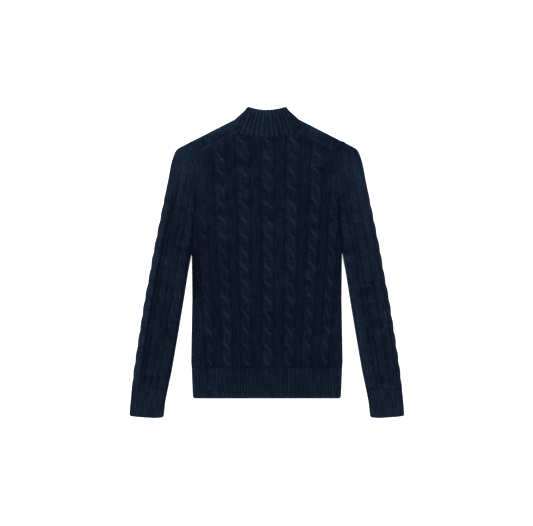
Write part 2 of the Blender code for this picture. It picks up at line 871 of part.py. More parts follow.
def slider(middle, low, high, metal):
    """The slider's body with the crown that its pull tab hangs from."""
    half = SLIDER_HALF_WIDTH
    body = box("zip_slider", (-half, low, SLIDER_LOW), (half, high, SLIDER_HIGH), metal)
    crown_low = (-CROWN_WIDTH / 2, middle - CROWN_LENGTH / 2, CROWN_LOW)
    crown_high = (CROWN_WIDTH / 2, middle + CROWN_LENGTH / 2, SLIDER_LOW + CROWN_BAR)
    crown = box("crown", crown_low, crown_high, cutter=True)
    reach = CROWN_LENGTH / 2 - CROWN_FOOT
    tunnel_low = (-CROWN_WIDTH, middle - reach, CROWN_LOW + CROWN_BAR)
    tunnel_high = (CROWN_WIDTH, middle + reach, SLIDER_LOW)
    tunnel = box("crown_tunnel", tunnel_low, tunnel_high, cutter=True)
    join(body, crown, "UNION")
    join(body, tunnel, "DIFFERENCE")


def pull_tab(pivot, metal):
    """A flat tab with an eye round the crown, and the pin that turns under its bar."""
    half = PULL_WIDTH / 2
    low = (-half, pivot - PULL_LENGTH, PULL_LOW)
    tab = box("zip_pull", low, (half, pivot + PIN_HALF, PULL_HIGH), metal)
    eye_low = (-EYE_HALF, pivot - EYE_START, 0.0)
    eye_high = (EYE_HALF, pivot - PIN_HALF, SLIDER_HIGH)
    join(tab, box("pull_eye", eye_low, eye_high, cutter=True), "DIFFERENCE")
    trim_low = (-EYE_HALF, pivot - PIN_HALF - SEAM, 0.0)
    trim_high = (EYE_HALF, pivot + PIN_HALF + SEAM, PIN_LOW)
    join(tab, box("pin_trim", trim_low, trim_high, cutter=True), "DIFFERENCE")
    origin = (0.0, pivot * METRES, (PIN_LOW + PIN_HIGH) / 2.0 * METRES)
    shift = [a - b for a, b in zip(tab.location, origin)]
    for vertex in tab.data.vertices:
        vertex.co = [c + s for c, s in zip(vertex.co, shift)]
    tab.location = origin


def build():
    navy = finish("navy_cotton_knit", NAVY, 0.85)
    tape = finish("zip_tape_weave", NAVY, 0.75)
    metal = finish("dark_zip_metal", ZIP_METAL, 0.4, 1.0)
    back_panel(navy)
    front_panel(navy)
    hem(navy)
    for name, side in (("left", LEFT), ("right", RIGHT)):
        sleeve(f"sleeve_{name}", side, navy)
        cuff(f"cuff_{name}", side, navy)
    collar(navy)
    zip_parts(tape, metal)


build()
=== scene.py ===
# %% [markdown]
# # A cable-knit sweater with a half zip, laid flat
#
# The sweater lies on its front with its back up, so the zip is underneath. Every
# panel is a separate piece of knitting, as in the real garment, and each one is
# modelled here as a fine sheet over the plain solid that the frame holds.
#
# The frame is loaded first. Its solids keep their places, and this script only
# gives them a finer surface. All sizes below are in millimetres.

# %% Load the frame
import math

import bpy
import numpy as np
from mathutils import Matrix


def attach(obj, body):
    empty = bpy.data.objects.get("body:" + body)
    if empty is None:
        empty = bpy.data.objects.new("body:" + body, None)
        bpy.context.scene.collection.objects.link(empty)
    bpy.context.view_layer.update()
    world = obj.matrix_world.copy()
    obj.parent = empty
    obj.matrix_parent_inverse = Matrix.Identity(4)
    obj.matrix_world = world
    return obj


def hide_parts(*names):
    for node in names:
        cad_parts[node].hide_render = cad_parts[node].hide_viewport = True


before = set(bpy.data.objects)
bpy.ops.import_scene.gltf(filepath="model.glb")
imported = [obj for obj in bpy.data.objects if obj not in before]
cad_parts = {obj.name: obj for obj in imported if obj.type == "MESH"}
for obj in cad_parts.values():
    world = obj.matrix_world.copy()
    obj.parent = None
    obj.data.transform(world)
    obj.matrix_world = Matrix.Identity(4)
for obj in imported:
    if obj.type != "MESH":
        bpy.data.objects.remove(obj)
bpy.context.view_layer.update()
MM = 0.001
GARMENT, PULL = "garment", "pull"
LEFT, RIGHT = -1, 1
SIDES = (("left", LEFT), ("right", RIGHT))

# %% [markdown]
# ## The studio
#
# The photo is a cut-out on white, taken square on. A camera far above the floor,
# with a long lens, sees the garment almost without perspective. The floor is pale,
# and two wide soft lights and a bright sky leave hardly any shadow on it. The
# stronger one stands low at the upper left, so that it rakes over the cables.

# %% Camera, floor and lights
PIXEL, PHOTO_WIDTH = 2.4, 533
PICTURE_MIDDLE = (-0.96, -1.32)
CAMERA_HEIGHT, SENSOR = 3200.0, 36.0
SEES_TO, FLOOR_METRES = 100.0, 60.0
FLOOR_DROP, FLOOR_GLOW, SKY_GLOW = 0.2, 0.8, 0.45
WHITE = (1.0, 1.0, 1.0, 1.0)
LIGHTS = [
    # name, place, size, watts
    ("key", (-1500.0, 1500.0, 1500.0), 900.0, 75.0),
    ("fill", (1700.0, -600.0, 1900.0), 1400.0, 38.0),
]


def set_sockets(node, values):
    for socket, value in values.items():
        node.inputs[socket].default_value = value


def material(name, colour, roughness, specular=0.5, metallic=0.0):
    """A Principled material. Its nodes are added to by the functions that follow."""
    made = bpy.data.materials.new(name)
    made.use_nodes = True
    set_sockets(made.node_tree.nodes["Principled BSDF"], {
        "Base Color": (*colour, 1.0), "Roughness": roughness,
        "Specular IOR Level": specular, "Metallic": metallic})
    return made


def studio():
    scene = bpy.context.scene
    scene.view_settings.view_transform = "Standard"
    bpy.ops.object.camera_add(location=[c * MM for c in (*PICTURE_MIDDLE, CAMERA_HEIGHT)])
    camera = scene.camera = bpy.context.object
    camera.data.sensor_width = SENSOR
    camera.data.lens = SENSOR * CAMERA_HEIGHT / (PHOTO_WIDTH * PIXEL)
    camera.data.clip_end = SEES_TO
    bpy.ops.mesh.primitive_plane_add(size=FLOOR_METRES)
    floor = bpy.context.object
    floor.name = "floor"
    floor.location.z = -FLOOR_DROP * MM
    pale = material("pale_floor", (0.86, 0.86, 0.86), 0.9, 0.1)
    set_sockets(pale.node_tree.nodes["Principled BSDF"],
                {"Emission Color": WHITE, "Emission Strength": FLOOR_GLOW})
    floor.data.materials.append(pale)
    scene.world = bpy.data.worlds.new("studio_sky")
    scene.world.use_nodes = True
    set_sockets(scene.world.node_tree.nodes["Background"], {"Color": WHITE, "Strength": SKY_GLOW})
    for name, place, size, watts in LIGHTS:
        bpy.ops.object.light_add(type="AREA", location=[c * MM for c in place])
        lamp = bpy.context.object
        lamp.name = name
        lamp.data.size = size * MM
        lamp.data.energy = watts
        lamp.rotation_euler = (-lamp.location).to_track_quat("-Z", "Y").to_euler()


studio()
print("the picture is", PHOTO_WIDTH * PIXEL, "mm wide")

# %% [markdown]
# ## The cut of the sweater
#
# These tables say where each panel ends, in the same millimetres as the solids.
# The outline was measured on the photo: the side folds, the sleeves' two folds,
# the neck and the sloping shoulder seams, which lie below the shoulder folds
# because the front panel runs over the shoulder to the back.

# %% Layers, outlines and ways to read them
BACK_FACE, BACK_INSIDE, MIDDLE, FRONT_INSIDE = 7.3, 4.15, 3.75, 3.3
EDGE_ROUND, EDGE_LIP = 4.0, 0.6
EDGE_STEPS = (0.0, 0.3, 0.9, 1.8, 2.8, 4.0)
SEAM = 0.3
WALL, FRONT_WALL = 2.3, 1.9
FAR_AWAY = 99.0  # a distance at which a seam has no effect

HEM_BOTTOM, HEM_SEAM, CUFF_SEAM = -326.0, -253.0, -303.0
BODY_HALF, ARMPIT = 180.0, 19.0
BODY_SIDE = [(-326, 177.5), (-310, 178.4), (-253, 180.6), (-238, 181.8), (-172, 180.7),
             (-86, 179.2), (19, 180.2), (300, 180.2)]
ARMHOLE = [(19, 180.5), (50, 178.5), (110, 175.5), (180, 172.6), (235, 170.2),
           (262.5, 169.5), (290.6, 180.0)]
NECK_FOLD, NECK_CORNER = (78.0, 342.6), (72.0, 312.0)
SHOULDER_SEAM_END, SHOULDER_FOLD_END = (169.5, 262.5), (180.0, 290.6)
BACK_NECK = [(0, 301), (29, 301.4), (53, 305.9), (72, 312)]
FRONT_NECK = [(0, 272), (15, 272.8), (30, 277), (45, 286), (58, 300), (68, 317),
              (74, 331), (78, 342.6)]
SLEEVE_OUTER = [(-373.3, 329.6), (-360, 329.3), (-345, 328.3), (-317, 325.6), (-303, 324.4),
                (-259, 319.4), (-173, 306.5), (-86.5, 292.8), (-29, 281.6), (28.7, 271.7),
                (86, 259.9), (144, 248.2), (201.5, 236.3), (230.3, 231.2), (244.7, 227.6),
                (259.1, 222.8), (268, 218.6), (273.5, 213), (281, 199), (290.6, 180)]
SLEEVE_INNER = [(-373.3, 247.6), (-331, 242.8), (-303, 237), (-259, 227.6), (-173, 212.8),
                (-86.5, 198.4), (-29, 189.4), (19, 180.9), (291, 134)]


def read(table, at):
    """Value of a two-column table at one place or at an array of them."""
    rows = np.array(table, float)
    return np.interp(at, rows[:, 0], rows[:, 1])


def slope(start, end, x):
    """Height at x of the straight line from start to end."""
    return start[1] + (x - start[0]) * (end[1] - start[1]) / (end[0] - start[0])


def at_share(pair, share):
    """The value at a share of the way from the first of a pair to the second."""
    return pair[0] + (pair[1] - pair[0]) * share


def share_of(value, start, end):
    """Share of the way from start to end, held between 0 and 1."""
    return np.clip((value - start) / (end - start), 0.0, 1.0)


def bell(distance, half):
    """A soft bump: 1 at no distance, and next to nothing from twice its half width."""
    return np.exp(-((distance / half) ** 2))


def rounding(distance, reach=EDGE_ROUND):
    """Share of the full height at a distance in from a rounded fold."""
    return np.sqrt(1.0 - (1.0 - share_of(distance, 0.0, reach)) ** 2)


def by_side(x, pair):
    """The first value on the left half and the second one on the right half."""
    return np.where(x < 0, *pair)


print("shoulder seam", round(math.dist(NECK_CORNER, SHOULDER_SEAM_END)), "mm long")

# %% [markdown]
# ## Knitting as a height
#
# A cable is two strands of stitches that cross over each other in turn. Seen
# square on, each strand swings from one side of the cable to the other like a
# cosine, and it rises while it swings one way and dips while it swings back. The
# cable's height at any place is that of whichever strand is on top there.
#
# Between the cables run fine ribs, and a narrow valley of purl stitches sets each
# cable off on both sides. The same formulas also say which column of stitches, or
# wale, a place belongs to. The wales are counted on all across a piece, and the
# yarn material draws its stitches from that count.

# %% Height of cables and ribs
CABLE_RISE, CABLE_REPEAT, CABLE_STARTS, CABLE_FADE = 3.4, 37.9, 7.0, 7.0
CABLE_SWING, CABLE_SNAP, CABLE_CROWN = 0.46, 1.9, 0.25
STRAND_HALF, STRAND_WALES, STRAND_HEIGHT = 0.5, 3.0, (0.6, 1.0)
RIB_RISE, RIB_DIP, RIB_PITCH, RIB_WALES = 1.5, 0.6, 6.9, 2
CABLE_WALES = 5
VALLEY_WIDTH, VALLEY_DEPTH, VALLEY_HALF = 2.4, 1.15, 1.2
COURSE = 2.7
TOUCH = 0.001


def cable_field(across, repeats):
    """Lift of a two-strand twist from -1 to 1 across it, and its wales."""
    lift = CABLE_CROWN * (1.0 - across**4)
    wale = STRAND_WALES / 2.0 * across
    for strand in (0, 1):
        turn = np.pi * (repeats + strand)
        swing = CABLE_SWING * np.tanh(CABLE_SNAP * np.cos(turn))
        offset = (across - swing) / STRAND_HALF
        raised = at_share(STRAND_HEIGHT, np.sin(turn) * np.abs(np.sin(turn)))
        strand_lift = raised * np.sqrt(np.clip(1.0 - offset**2, 0.0, 1.0))
        on_top = strand_lift > lift
        lift = np.where(on_top, strand_lift, lift)
        wale = np.where(on_top, STRAND_WALES / 2.0 * offset, wale)
    border = across**8
    return CABLE_RISE * lift * (1.0 - border) + RIB_DIP * border, wale


def rib_lift(phase, dip=RIB_DIP, rise=RIB_RISE):
    """Round ribs: the phase counts them, with a dip at every whole number."""
    return at_share((dip, rise), np.abs(np.sin(np.pi * phase)) ** 0.8)


def evenly(first, last, steps):
    """Pairs of places in even steps from the first pair to the last one."""
    return [[at_share(pair, k / steps) for pair in zip(first, last)] for k in range(steps + 1)]


class Pattern:
    """Cables over a width, with ribs between them and outside them.

    Every edge is a pair of places, at the foot and at the top. starts shifts each cable's
    crossings in mm, ribs counts those in every gap, and unit is a place's length in mm.
    """

    def __init__(self, cables, starts, ribs, unit=1.0, twist=1):
        self.cables, self.starts, self.unit, self.twist = cables, starts, unit, twist
        self.valley = VALLEY_WIDTH / unit
        before, after = [ribs[end] * RIB_PITCH / unit + 2 * self.valley for end in (0, -1)]
        edges = [[edge - before for edge in cables[0][0]],
                 *[edge for cable in cables for edge in cable],
                 [edge + after for edge in cables[-1][1]]]
        self.gaps = list(zip(edges[::2], edges[1::2], ribs))

    def places(self, rib_steps, cable_steps):
        """Places of the lines that follow every rib and cable, as rows of pairs."""
        found = []
        for (start, end, ribs), cable in zip(self.gaps, [*self.cables, None]):
            first = [edge + self.valley for edge in start]
            last = [edge - self.valley for edge in end]
            found += evenly(first, last, ribs * rib_steps)
            if cable:
                found += evenly(*cable, cable_steps)
        return np.array(found)

    def knit(self, place, share, level, low, high):
        """Lift over the plain cloth and count of wales, at arrays of places."""
        phase, wale = np.zeros(place.shape), np.zeros(place.shape)
        count, middles = 0, []
        for first, last, ribs in self.gaps:
            first, last = at_share(first, share) + self.valley, at_share(last, share) - self.valley
            along = (place - first) / (last - first)
            phase = np.where((along > 0.0) & (along < 1.0), ribs * along, phase)
            ribbed = RIB_WALES * ribs
            wale = np.where(along > -TOUCH, count + ribbed * np.minimum(along, 1.0), wale)
            middles.append(count + ribbed + CABLE_WALES / 2)
            count += ribbed + CABLE_WALES
        lift = rib_lift(phase)
        fade = share_of(np.minimum(level - low, high - level), 0.0, CABLE_FADE)
        for (first, last), start, middle in zip(self.cables, self.starts, middles):
            first, last = at_share(first, share), at_share(last, share)
            across = (2.0 * (place - first) / (last - first) - 1.0) * self.twist
            repeats = (level - CABLE_STARTS - start) / CABLE_REPEAT
            twist, twist_wale = cable_field(np.clip(across, -1.0, 1.0), repeats)
            inside = np.abs(across) <= 1.0 + TOUCH / 2
            lift = np.where(inside, at_share((RIB_DIP, twist), fade), lift)
            wale = np.where(inside, middle + twist_wale, wale)
            for edge, out in ((first, -1.0), (last, 1.0)):
                away = (place - edge) * self.unit - out * VALLEY_WIDTH / 2.0
                lift = lift - VALLEY_DEPTH * bell(away, VALLEY_HALF)
        return lift, wale


print("cable repeat", CABLE_REPEAT, "mm, rows of stitches", COURSE, "mm")

# %% [markdown]
# The body's cables draw together towards the hem, because the rib there pulls the
# cloth in. Each one is listed by its middle and width at a low and a high level.
# The front doesn't show in the photo, so its cables are even on both sides, and a
# list of one half is enough. It runs from the middle outwards.

# %% Cables of the body
BACK_CABLES = [
    # middle and width at the foot, middle and width at the shoulder, shift of the crossings
    (-136.0, 21.0, -163.5, 27.0, 0.0),
    (-94.5, 25.0, -113.0, 32.5, 0.0),
    (-48.0, 26.5, -58.3, 35.0, -1.0),
    (1.2, 28.5, 2.4, 33.0, -2.5),
    (51.5, 26.5, 63.5, 35.0, -1.0),
    (96.0, 25.0, 122.0, 32.5, 6.0),
    (139.5, 21.0, 170.5, 27.0, 4.0),
]
FRONT_HALF = [
    (0.0, 29.0, 0.0, 34.0),
    (50.5, 26.5, 62.0, 35.0),
    (96.5, 25.0, 119.5, 32.5),
    (139.2, 21.0, 168.0, 27.0),
]
FRONT_CABLES = [
    (side * low, low_width, side * high, high_width, 0.0)
    for side, half in ((LEFT, FRONT_HALF[:0:-1]), (RIGHT, FRONT_HALF))
    for low, low_width, high, high_width in half]
CABLE_LEVEL, SHOULDER_LEVEL = -215.0, 258.0
BODY_RIBS = [5, 3, 3, 3, 3, 3, 3, 5]


def body_pattern(table, twist):
    """The pattern all across the body, with its cables in order from the left."""
    edges = [[(low + k * low_width, high + k * high_width) for k in (-0.5, 0.5)]
             for low, low_width, high, high_width, _ in table]
    return Pattern(edges, [row[4] for row in table], BODY_RIBS, twist=twist)


def body_share(level):
    return (level - CABLE_LEVEL) / (SHOULDER_LEVEL - CABLE_LEVEL)


def body_x(places, level):
    """Where the body's lines lie at rows of levels. Each has a limit at the side fold."""
    straight = at_share((places[:, 0], places[:, 1]), body_share(level))
    straight = np.clip(straight, -places[:, 2], places[:, 2])
    return straight * read(BODY_SIDE, level) / BODY_HALF


def body_knit(pattern, x, level, low, high):
    place = x * BODY_HALF / read(BODY_SIDE, level)
    return pattern.knit(place, body_share(level), level, low, high)


print(len(BACK_CABLES), "cables across the body")

# %% [markdown]
# ## From a flat grid to a piece of cloth
#
# Each piece starts as Blender's grid primitive, with one row of points for each
# course. Its points are then moved to where the knitting puts them. A grid has
# square corners and a panel hasn't, so the rows that would pass a seam stop on
# it, and the doubled points there are merged.
#
# A panel gets its thickness as a tailor's pattern would: the rim is extruded to
# the plain inside and one face closes it. A tube gets it from Solidify, and the
# floor that the sweater lies on stops that wall.

# %% Grid to cloth
MERGE = 0.00002
LOWEST, HIGHEST = -1.6, 3.4
SMOOTH_BELOW = math.radians(50)


def select_only(obj):
    bpy.ops.object.select_all(action="DESELECT")
    obj.select_set(True)
    bpy.context.view_layer.objects.active = obj


def named(made, name):
    made.name = made.data.name = name
    return made


def edit_mode(kind, action="DESELECT"):
    """Start to edit the points, edges or faces, with all or none of them selected."""
    bpy.ops.object.mode_set(mode="EDIT")
    bpy.ops.mesh.select_mode(type=kind)
    bpy.ops.mesh.select_all(action=action)


def modify(piece, kind, **settings):
    """Add a modifier, set it and apply it."""
    select_only(piece)
    modifier = piece.modifiers.new(kind.lower(), kind)
    for key, value in settings.items():
        setattr(modifier, key, value)
    bpy.ops.object.modifier_apply(modifier=modifier.name)


def grid_order(points):
    """The order that puts a grid's points or faces in rows, from the foot up."""
    points = points.round(6)
    return np.lexsort((points[:, 0], points[:, 1]))


def cloth(name, points, stitches, lift, pale, drop=None, flip=False):
    """A grid with its points, stitches, lifts and paleness given as rows x columns.

    drop marks the faces that are cut away, and flip turns all of them to look down.
    """
    points = np.stack(np.broadcast_arrays(*points), -1)
    stitches = np.stack(np.broadcast_arrays(*stitches), -1)
    rows, columns = points.shape[:2]
    bpy.ops.object.select_all(action="DESELECT")
    bpy.ops.mesh.primitive_grid_add(x_subdivisions=columns - 1, y_subdivisions=rows - 1, size=1.0)
    made = named(bpy.context.object, name)
    mesh = made.data
    flat = np.empty(rows * columns * 3, np.float32)
    mesh.vertices.foreach_get("co", flat)
    order = grid_order(flat.reshape(-1, 3))
    face_order = grid_order(np.array([face.center[:] for face in mesh.polygons]))

    def in_mesh_order(values):
        placed = np.empty(values.shape, np.float32)
        placed[order] = values
        return placed

    mesh.vertices.foreach_set("co", in_mesh_order(points.reshape(-1, 3) * MM).ravel())
    corners = np.empty(len(mesh.loops), np.int32)
    mesh.loops.foreach_get("vertex_index", corners)
    mesh.uv_layers[0].name = "stitches"
    uv = in_mesh_order(stitches.reshape(-1, 2))[corners]
    mesh.uv_layers[0].data.foreach_set("uv", uv.ravel())
    for attribute, values in (("lift", (lift - LOWEST) / (HIGHEST - LOWEST)), ("pale", pale)):
        values = in_mesh_order(np.broadcast_to(values, (rows, columns)).ravel())
        mesh.attributes.new(attribute, "FLOAT", "POINT").data.foreach_set("value", values)
    if drop is not None:
        edit_mode("FACE")
        bpy.ops.object.mode_set(mode="OBJECT")
        dropped = np.empty(drop.size, bool)
        dropped[face_order] = drop.ravel()
        mesh.polygons.foreach_set("select", dropped)
        bpy.ops.object.mode_set(mode="EDIT")
        bpy.ops.mesh.delete(type="FACE")
    edit_mode("VERT", "SELECT")
    bpy.ops.mesh.remove_doubles(threshold=MERGE)
    if flip:
        bpy.ops.mesh.flip_normals()
    bpy.ops.object.mode_set(mode="OBJECT")
    return made


def close_inside(sheet, height):
    """Extrude the rim to a flat inside at this height, and close it with one face."""
    select_only(sheet)
    edit_mode("EDGE")
    bpy.ops.mesh.select_non_manifold(extend=False, use_wire=False, use_boundary=True,
                                     use_multi_face=False, use_non_contiguous=False, use_verts=False)
    bpy.ops.mesh.extrude_edges_move()
    bpy.ops.transform.resize(value=(1, 1, 0), center_override=(0, 0, height * MM))
    bpy.ops.mesh.edge_face_add()
    bpy.ops.object.mode_set(mode="OBJECT")


def thicken(sheet, wall=WALL):
    """Give a tube or strip its wall, inwards from the face that shows and not under the floor."""
    modify(sheet, "SOLIDIFY", thickness=wall * MM, offset=-1.0)
    for point in sheet.data.vertices:
        point.co.z = max(point.co.z, 0.0)


def finish_piece(piece, look, slot, *nodes, body=GARMENT):
    """Material, smooth shading, what it rides on and which solids it stands for."""
    piece.data.materials.clear()
    piece.data.materials.append(look)
    select_only(piece)
    bpy.ops.object.shade_smooth_by_angle(angle=SMOOTH_BELOW)
    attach(piece, body)
    if nodes:
        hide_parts(*nodes)
    triangles = sum(len(face.vertices) - 2 for face in piece.data.polygons)
    print(f"{piece.name}: {triangles} triangles")
    return piece


# %% [markdown]
# ## Yarn
#
# Cotton yarn is matt and a little fuzzy. Each stitch shows as a V: two short legs
# that lean out from the middle of their wale. The material draws the V from the
# piece's stitch map, whose first number counts wales and whose second counts rows.
# It bumps the surface and paints shade into the gaps. Yarn takes up dye unevenly, so
# each stitch gets a random shade, and so does each run of seven stitches in a wale.
#
# The `lift` attribute says how far the knitting stands out: the valleys are darker
# and the crests lighter and greyer, which is painted shade and painted highlight,
# because light doesn't reach into the valleys of a dark yarn. The `pale` attribute
# is painted light on folds, edges and shoulders, and a little all over the sleeves
# and cuffs.

# %% Yarn material
# NAVY is the yarn; CREST is the painted highlight on the crests, and the pale attribute lightens the
# cloth towards PALE.
NAVY = (0.0037, 0.0074, 0.0164)
CREST = (0.0061, 0.0097, 0.0205)
PALE = (0.0122, 0.0232, 0.0452)
SHEEN = {"Sheen Weight": 0.06, "Sheen Roughness": 0.3, "Sheen Tint": (0.15, 0.4, 0.6, 1.0)}
RUNS_PER_ROW = 0.14
STITCH_SLANT, STITCH_ROUND = 1.3, 0.6
CREST_SHADES = (0.5, 0.96), (0.78, 1.03), (1.0, 1.55)
VALLEY_END, DEEPEST = 0.28, 0.76
MOTTLE, FIBRES = (30.0, 4.0), (1400.0, 3.0, 0.7)
STITCH_BUMP, FIBRE_BUMP = 0.6, 0.25


class Nodes:
    """A short way to write a material's nodes."""

    def __init__(self, made):
        self.tree = made.node_tree
        self.shader = self.tree.nodes["Principled BSDF"]

    def add(self, kind, *inputs, **settings):
        node = self.tree.nodes.new(kind)
        for key, value in settings.items():
            setattr(node, key, value)
        for index, value in enumerate(inputs):
            self.feed(value, node.inputs[index])
        return node

    def feed(self, value, socket):
        if isinstance(value, bpy.types.NodeSocket):
            self.tree.links.new(value, socket)
        elif value is not None:
            socket.default_value = value

    def math(self, operation, *values):
        return self.add("ShaderNodeMath", *values, operation=operation).outputs[0]

    def vector(self, operation, *values):
        return self.add("ShaderNodeVectorMath", *values, operation=operation).outputs[0]

    def mix(self, share, first, second):
        return self.add("ShaderNodeMixRGB", share, first, second).outputs[0]

    def greys(self, share, *stops):
        """A ramp of greys, each given with its place."""
        node = self.add("ShaderNodeValToRGB", share)
        ramp = node.color_ramp
        ramp.elements[0].position, ramp.elements[1].position = stops[0][0], stops[-1][0]
        for place, _ in stops[1:-1]:
            ramp.elements.new(place)
        for element, (_, grey) in zip(ramp.elements, stops):
            element.color = (grey, grey, grey, 1.0)
        return node.outputs[0]

    def bump(self, height, distance, normal=None):
        return self.add("ShaderNodeBump", 1.0, distance * MM, None, height, normal).outputs[0]

    def object_place(self):
        return self.add("ShaderNodeTexCoord").outputs["Object"]

    def noise(self, scale, detail, roughness=0.5):
        kind = "ShaderNodeTexNoise"
        return self.add(kind, self.object_place(), None, scale, detail, roughness).outputs[0]

    def attribute(self, name):
        return self.add("ShaderNodeAttribute", attribute_name=name).outputs["Fac"]

    def stitch_map(self):
        return self.add("ShaderNodeUVMap", uv_map="stitches").outputs[0]

    def chance(self, place):
        """A random number for each whole step of a place."""
        cell = self.vector("FLOOR", place)
        return self.add("ShaderNodeTexWhiteNoise", cell, noise_dimensions="2D").outputs[0]


def stitch_height(nodes):
    """Height of the V stitches, 0 in the gaps and 1 on the yarn."""
    split = nodes.add("ShaderNodeSeparateXYZ", nodes.stitch_map())
    column = nodes.math("FRACT", split.outputs[0])
    out = nodes.math("ABSOLUTE", nodes.math("SUBTRACT", column, 0.5))
    leg = nodes.math("SINE", nodes.math("MULTIPLY", out, 2.0 * math.pi))
    row = nodes.math("FRACT", nodes.math("MULTIPLY_ADD", out, -STITCH_SLANT, split.outputs[1]))
    along = nodes.math("SINE", nodes.math("MULTIPLY", row, math.pi))
    return nodes.math("POWER", nodes.math("MULTIPLY", leg, along), STITCH_ROUND)


def yarn(name, pale, rib_depth):
    """Knit cloth. rib_depth is how much darker its valleys are than its crests."""
    made = material(name, NAVY, 0.9, 0.02)
    nodes = Nodes(made)
    stitch, lift = stitch_height(nodes), nodes.attribute("lift")
    valley = 1.0 - rib_depth
    shade = nodes.greys(lift, (0.0, valley * DEEPEST), (VALLEY_END, valley), *CREST_SHADES)
    crest = nodes.math("SMOOTH_MIN", nodes.math("MULTIPLY", lift, lift), 1.0, 0.1)
    hue = nodes.mix(crest, (*NAVY, 1.0), (*CREST, 1.0))
    hue = nodes.mix(nodes.math("ADD", nodes.attribute("pale"), pale), hue, (*PALE, 1.0))
    place = nodes.stitch_map()
    run = nodes.vector("MULTIPLY", place, (1.0, RUNS_PER_ROW, 1.0))
    light = None
    for varies, swing, least in (
            # what varies over the cloth, how much it lights up, what is left where it is 0
            (nodes.chance(place), 0.56, 0.72),
            (nodes.noise(*MOTTLE), 0.33, 0.76),
            (nodes.chance(run), 0.46, 0.77),
            # the stitch height also paints shade into the gaps between stitches
            (stitch, 0.56, 0.72)):
        factor = nodes.math("MULTIPLY_ADD", varies, swing, least)
        light = nodes.math("MULTIPLY", light, factor) if light else factor
    lit = nodes.add("ShaderNodeVectorMath", nodes.vector("MULTIPLY", hue, shade), operation="SCALE")
    nodes.feed(light, lit.inputs["Scale"])
    nodes.feed(lit.outputs[0], nodes.shader.inputs["Base Color"])
    fibres = nodes.bump(nodes.noise(*FIBRES), FIBRE_BUMP)
    nodes.feed(nodes.bump(stitch, STITCH_BUMP, fibres), nodes.shader.inputs["Normal"])
    set_sockets(nodes.shader, SHEEN)
    return made


knit_look = yarn("navy_cotton_knit", 0.0, 0.25)
rib_look = yarn("navy_cotton_rib", 0.24, 0.6)

# %% [markdown]
# ## Creases
#
# The sweater was pressed flat, so its creases are soft and few. Each one here is a
# path with a half width and a height: ridges are above 0 and troughs below. The
# long trough on the left sleeve is its seam, which has turned towards the back,
# and it goes on through the cuff. Long gentle waves stand for the uneven drape.

# %% Creases and drape
LONG_TROUGH = [(-198, 214), (-207, 193), (-243, 71), (-265, -49), (-278, -131), (-290, -205),
               (-298, -265), (-306, -330)]
CREASES = [
    # path, half width, height
    (LONG_TROUGH, 3.4, -2.3),
    ([(-196, 238), (-215, 150), (-232, 92)], 7.0, 0.9),
    ([(-246, 60), (-222, 38), (-196, 30)], 6.0, -0.9),
    ([(-262, 20), (-236, -6), (-206, -14)], 7.0, 0.8),
    ([(-272, -40), (-250, -58), (-220, -64)], 6.0, -0.8),
    ([(246, 70), (222, 44), (196, 30)], 6.0, -0.9),
    ([(265, 10), (238, -8), (204, -10)], 7.0, 0.8),
    ([(278, -60), (255, -72), (222, -74)], 6.0, -0.7),
    ([(300, -150), (276, -166), (240, -170)], 7.0, 0.7),
    ([(-300, -150), (-276, -160), (-244, -166)], 7.0, 0.6),
    ([(-179, 40), (-173, -30), (-170, -92)], 12.0, -3.3),
    ([(-150, 60), (-146, 0), (-148, -70)], 12.0, -0.7),
    ([(178, 40), (176, 0), (172, -50)], 8.0, -1.2),
    ([(150, 240), (172, 170), (178, 90)], 6.0, -0.6),
    ([(-150, 240), (-172, 170), (-178, 90)], 6.0, -0.6),
    ([(-160, -150), (-120, -190), (-90, -240)], 12.0, 0.5),
    ([(165, -140), (140, -185), (120, -240)], 12.0, 0.5),
]
CREASE_TAPER = 1.0 / 6.0
WAVES = [
    # length across and along, phase, height
    (410.0, 530.0, 0.4, 0.35),
    (170.0, 260.0, 1.9, 0.22),
    (95.0, 140.0, 4.1, 0.14),
]
PLAIN = 1.0
LIT_SOFT_SPOTS = [
    # middle across and along, reach across and along, share of the relief left, painted light
    (-212, 232, 44, 50, 0.25, 0.28),
    (-192, 280, 24, 26, 0.8, 0.42),
    (214, 222, 34, 38, 0.5, 0.26),
    (226, 130, 30, 90, 0.9, 0.18),
    (-158, 190, 30, 75, 0.45, 0.03),
    (165, 215, 26, 50, 0.5, 0.10),
]


def along_path(x, y, path):
    """Distance to a path, and the share of the way along it, at every point."""
    distance, share = np.full(x.shape, 1e9), np.zeros(x.shape)
    total = sum(math.dist(a, b) for a, b in zip(path, path[1:]))
    done = 0.0
    for a, b in zip(path, path[1:]):
        length = math.dist(a, b)
        step_x, step_y = (b[0] - a[0]) / length, (b[1] - a[1]) / length
        along = np.clip((x - a[0]) * step_x + (y - a[1]) * step_y, 0.0, length)
        away = np.hypot(x - a[0] - along * step_x, y - a[1] - along * step_y)
        share = np.where(away < distance, (done + along) / total, share)
        distance = np.minimum(distance, away)
        done += length
    return distance, share


# The creases also go into the tone of the back, the sleeves and the cuffs: painted shade in their
# troughs and painted light on their ridges.
def creases(x, y):
    height = np.zeros(x.shape)
    for path, half, rise in CREASES:
        distance, share = along_path(x, y, path)
        taper = share_of(share, 0.0, CREASE_TAPER) * share_of(share, 1.0, 1.0 - CREASE_TAPER)
        height += rise * taper * bell(distance, half)
    return height


def drape(x, y):
    """Height of the creases and of the long waves."""
    height = creases(x, y)
    for across, along, phase, rise in WAVES:
        wave = np.sin(x * 2 * np.pi / across + phase)
        height += rise * wave * np.sin(y * 2 * np.pi / along + 2 * phase)
    return height


def softer(lift, share):
    """The same relief with only a share of its height."""
    return PLAIN + (lift - PLAIN) * share


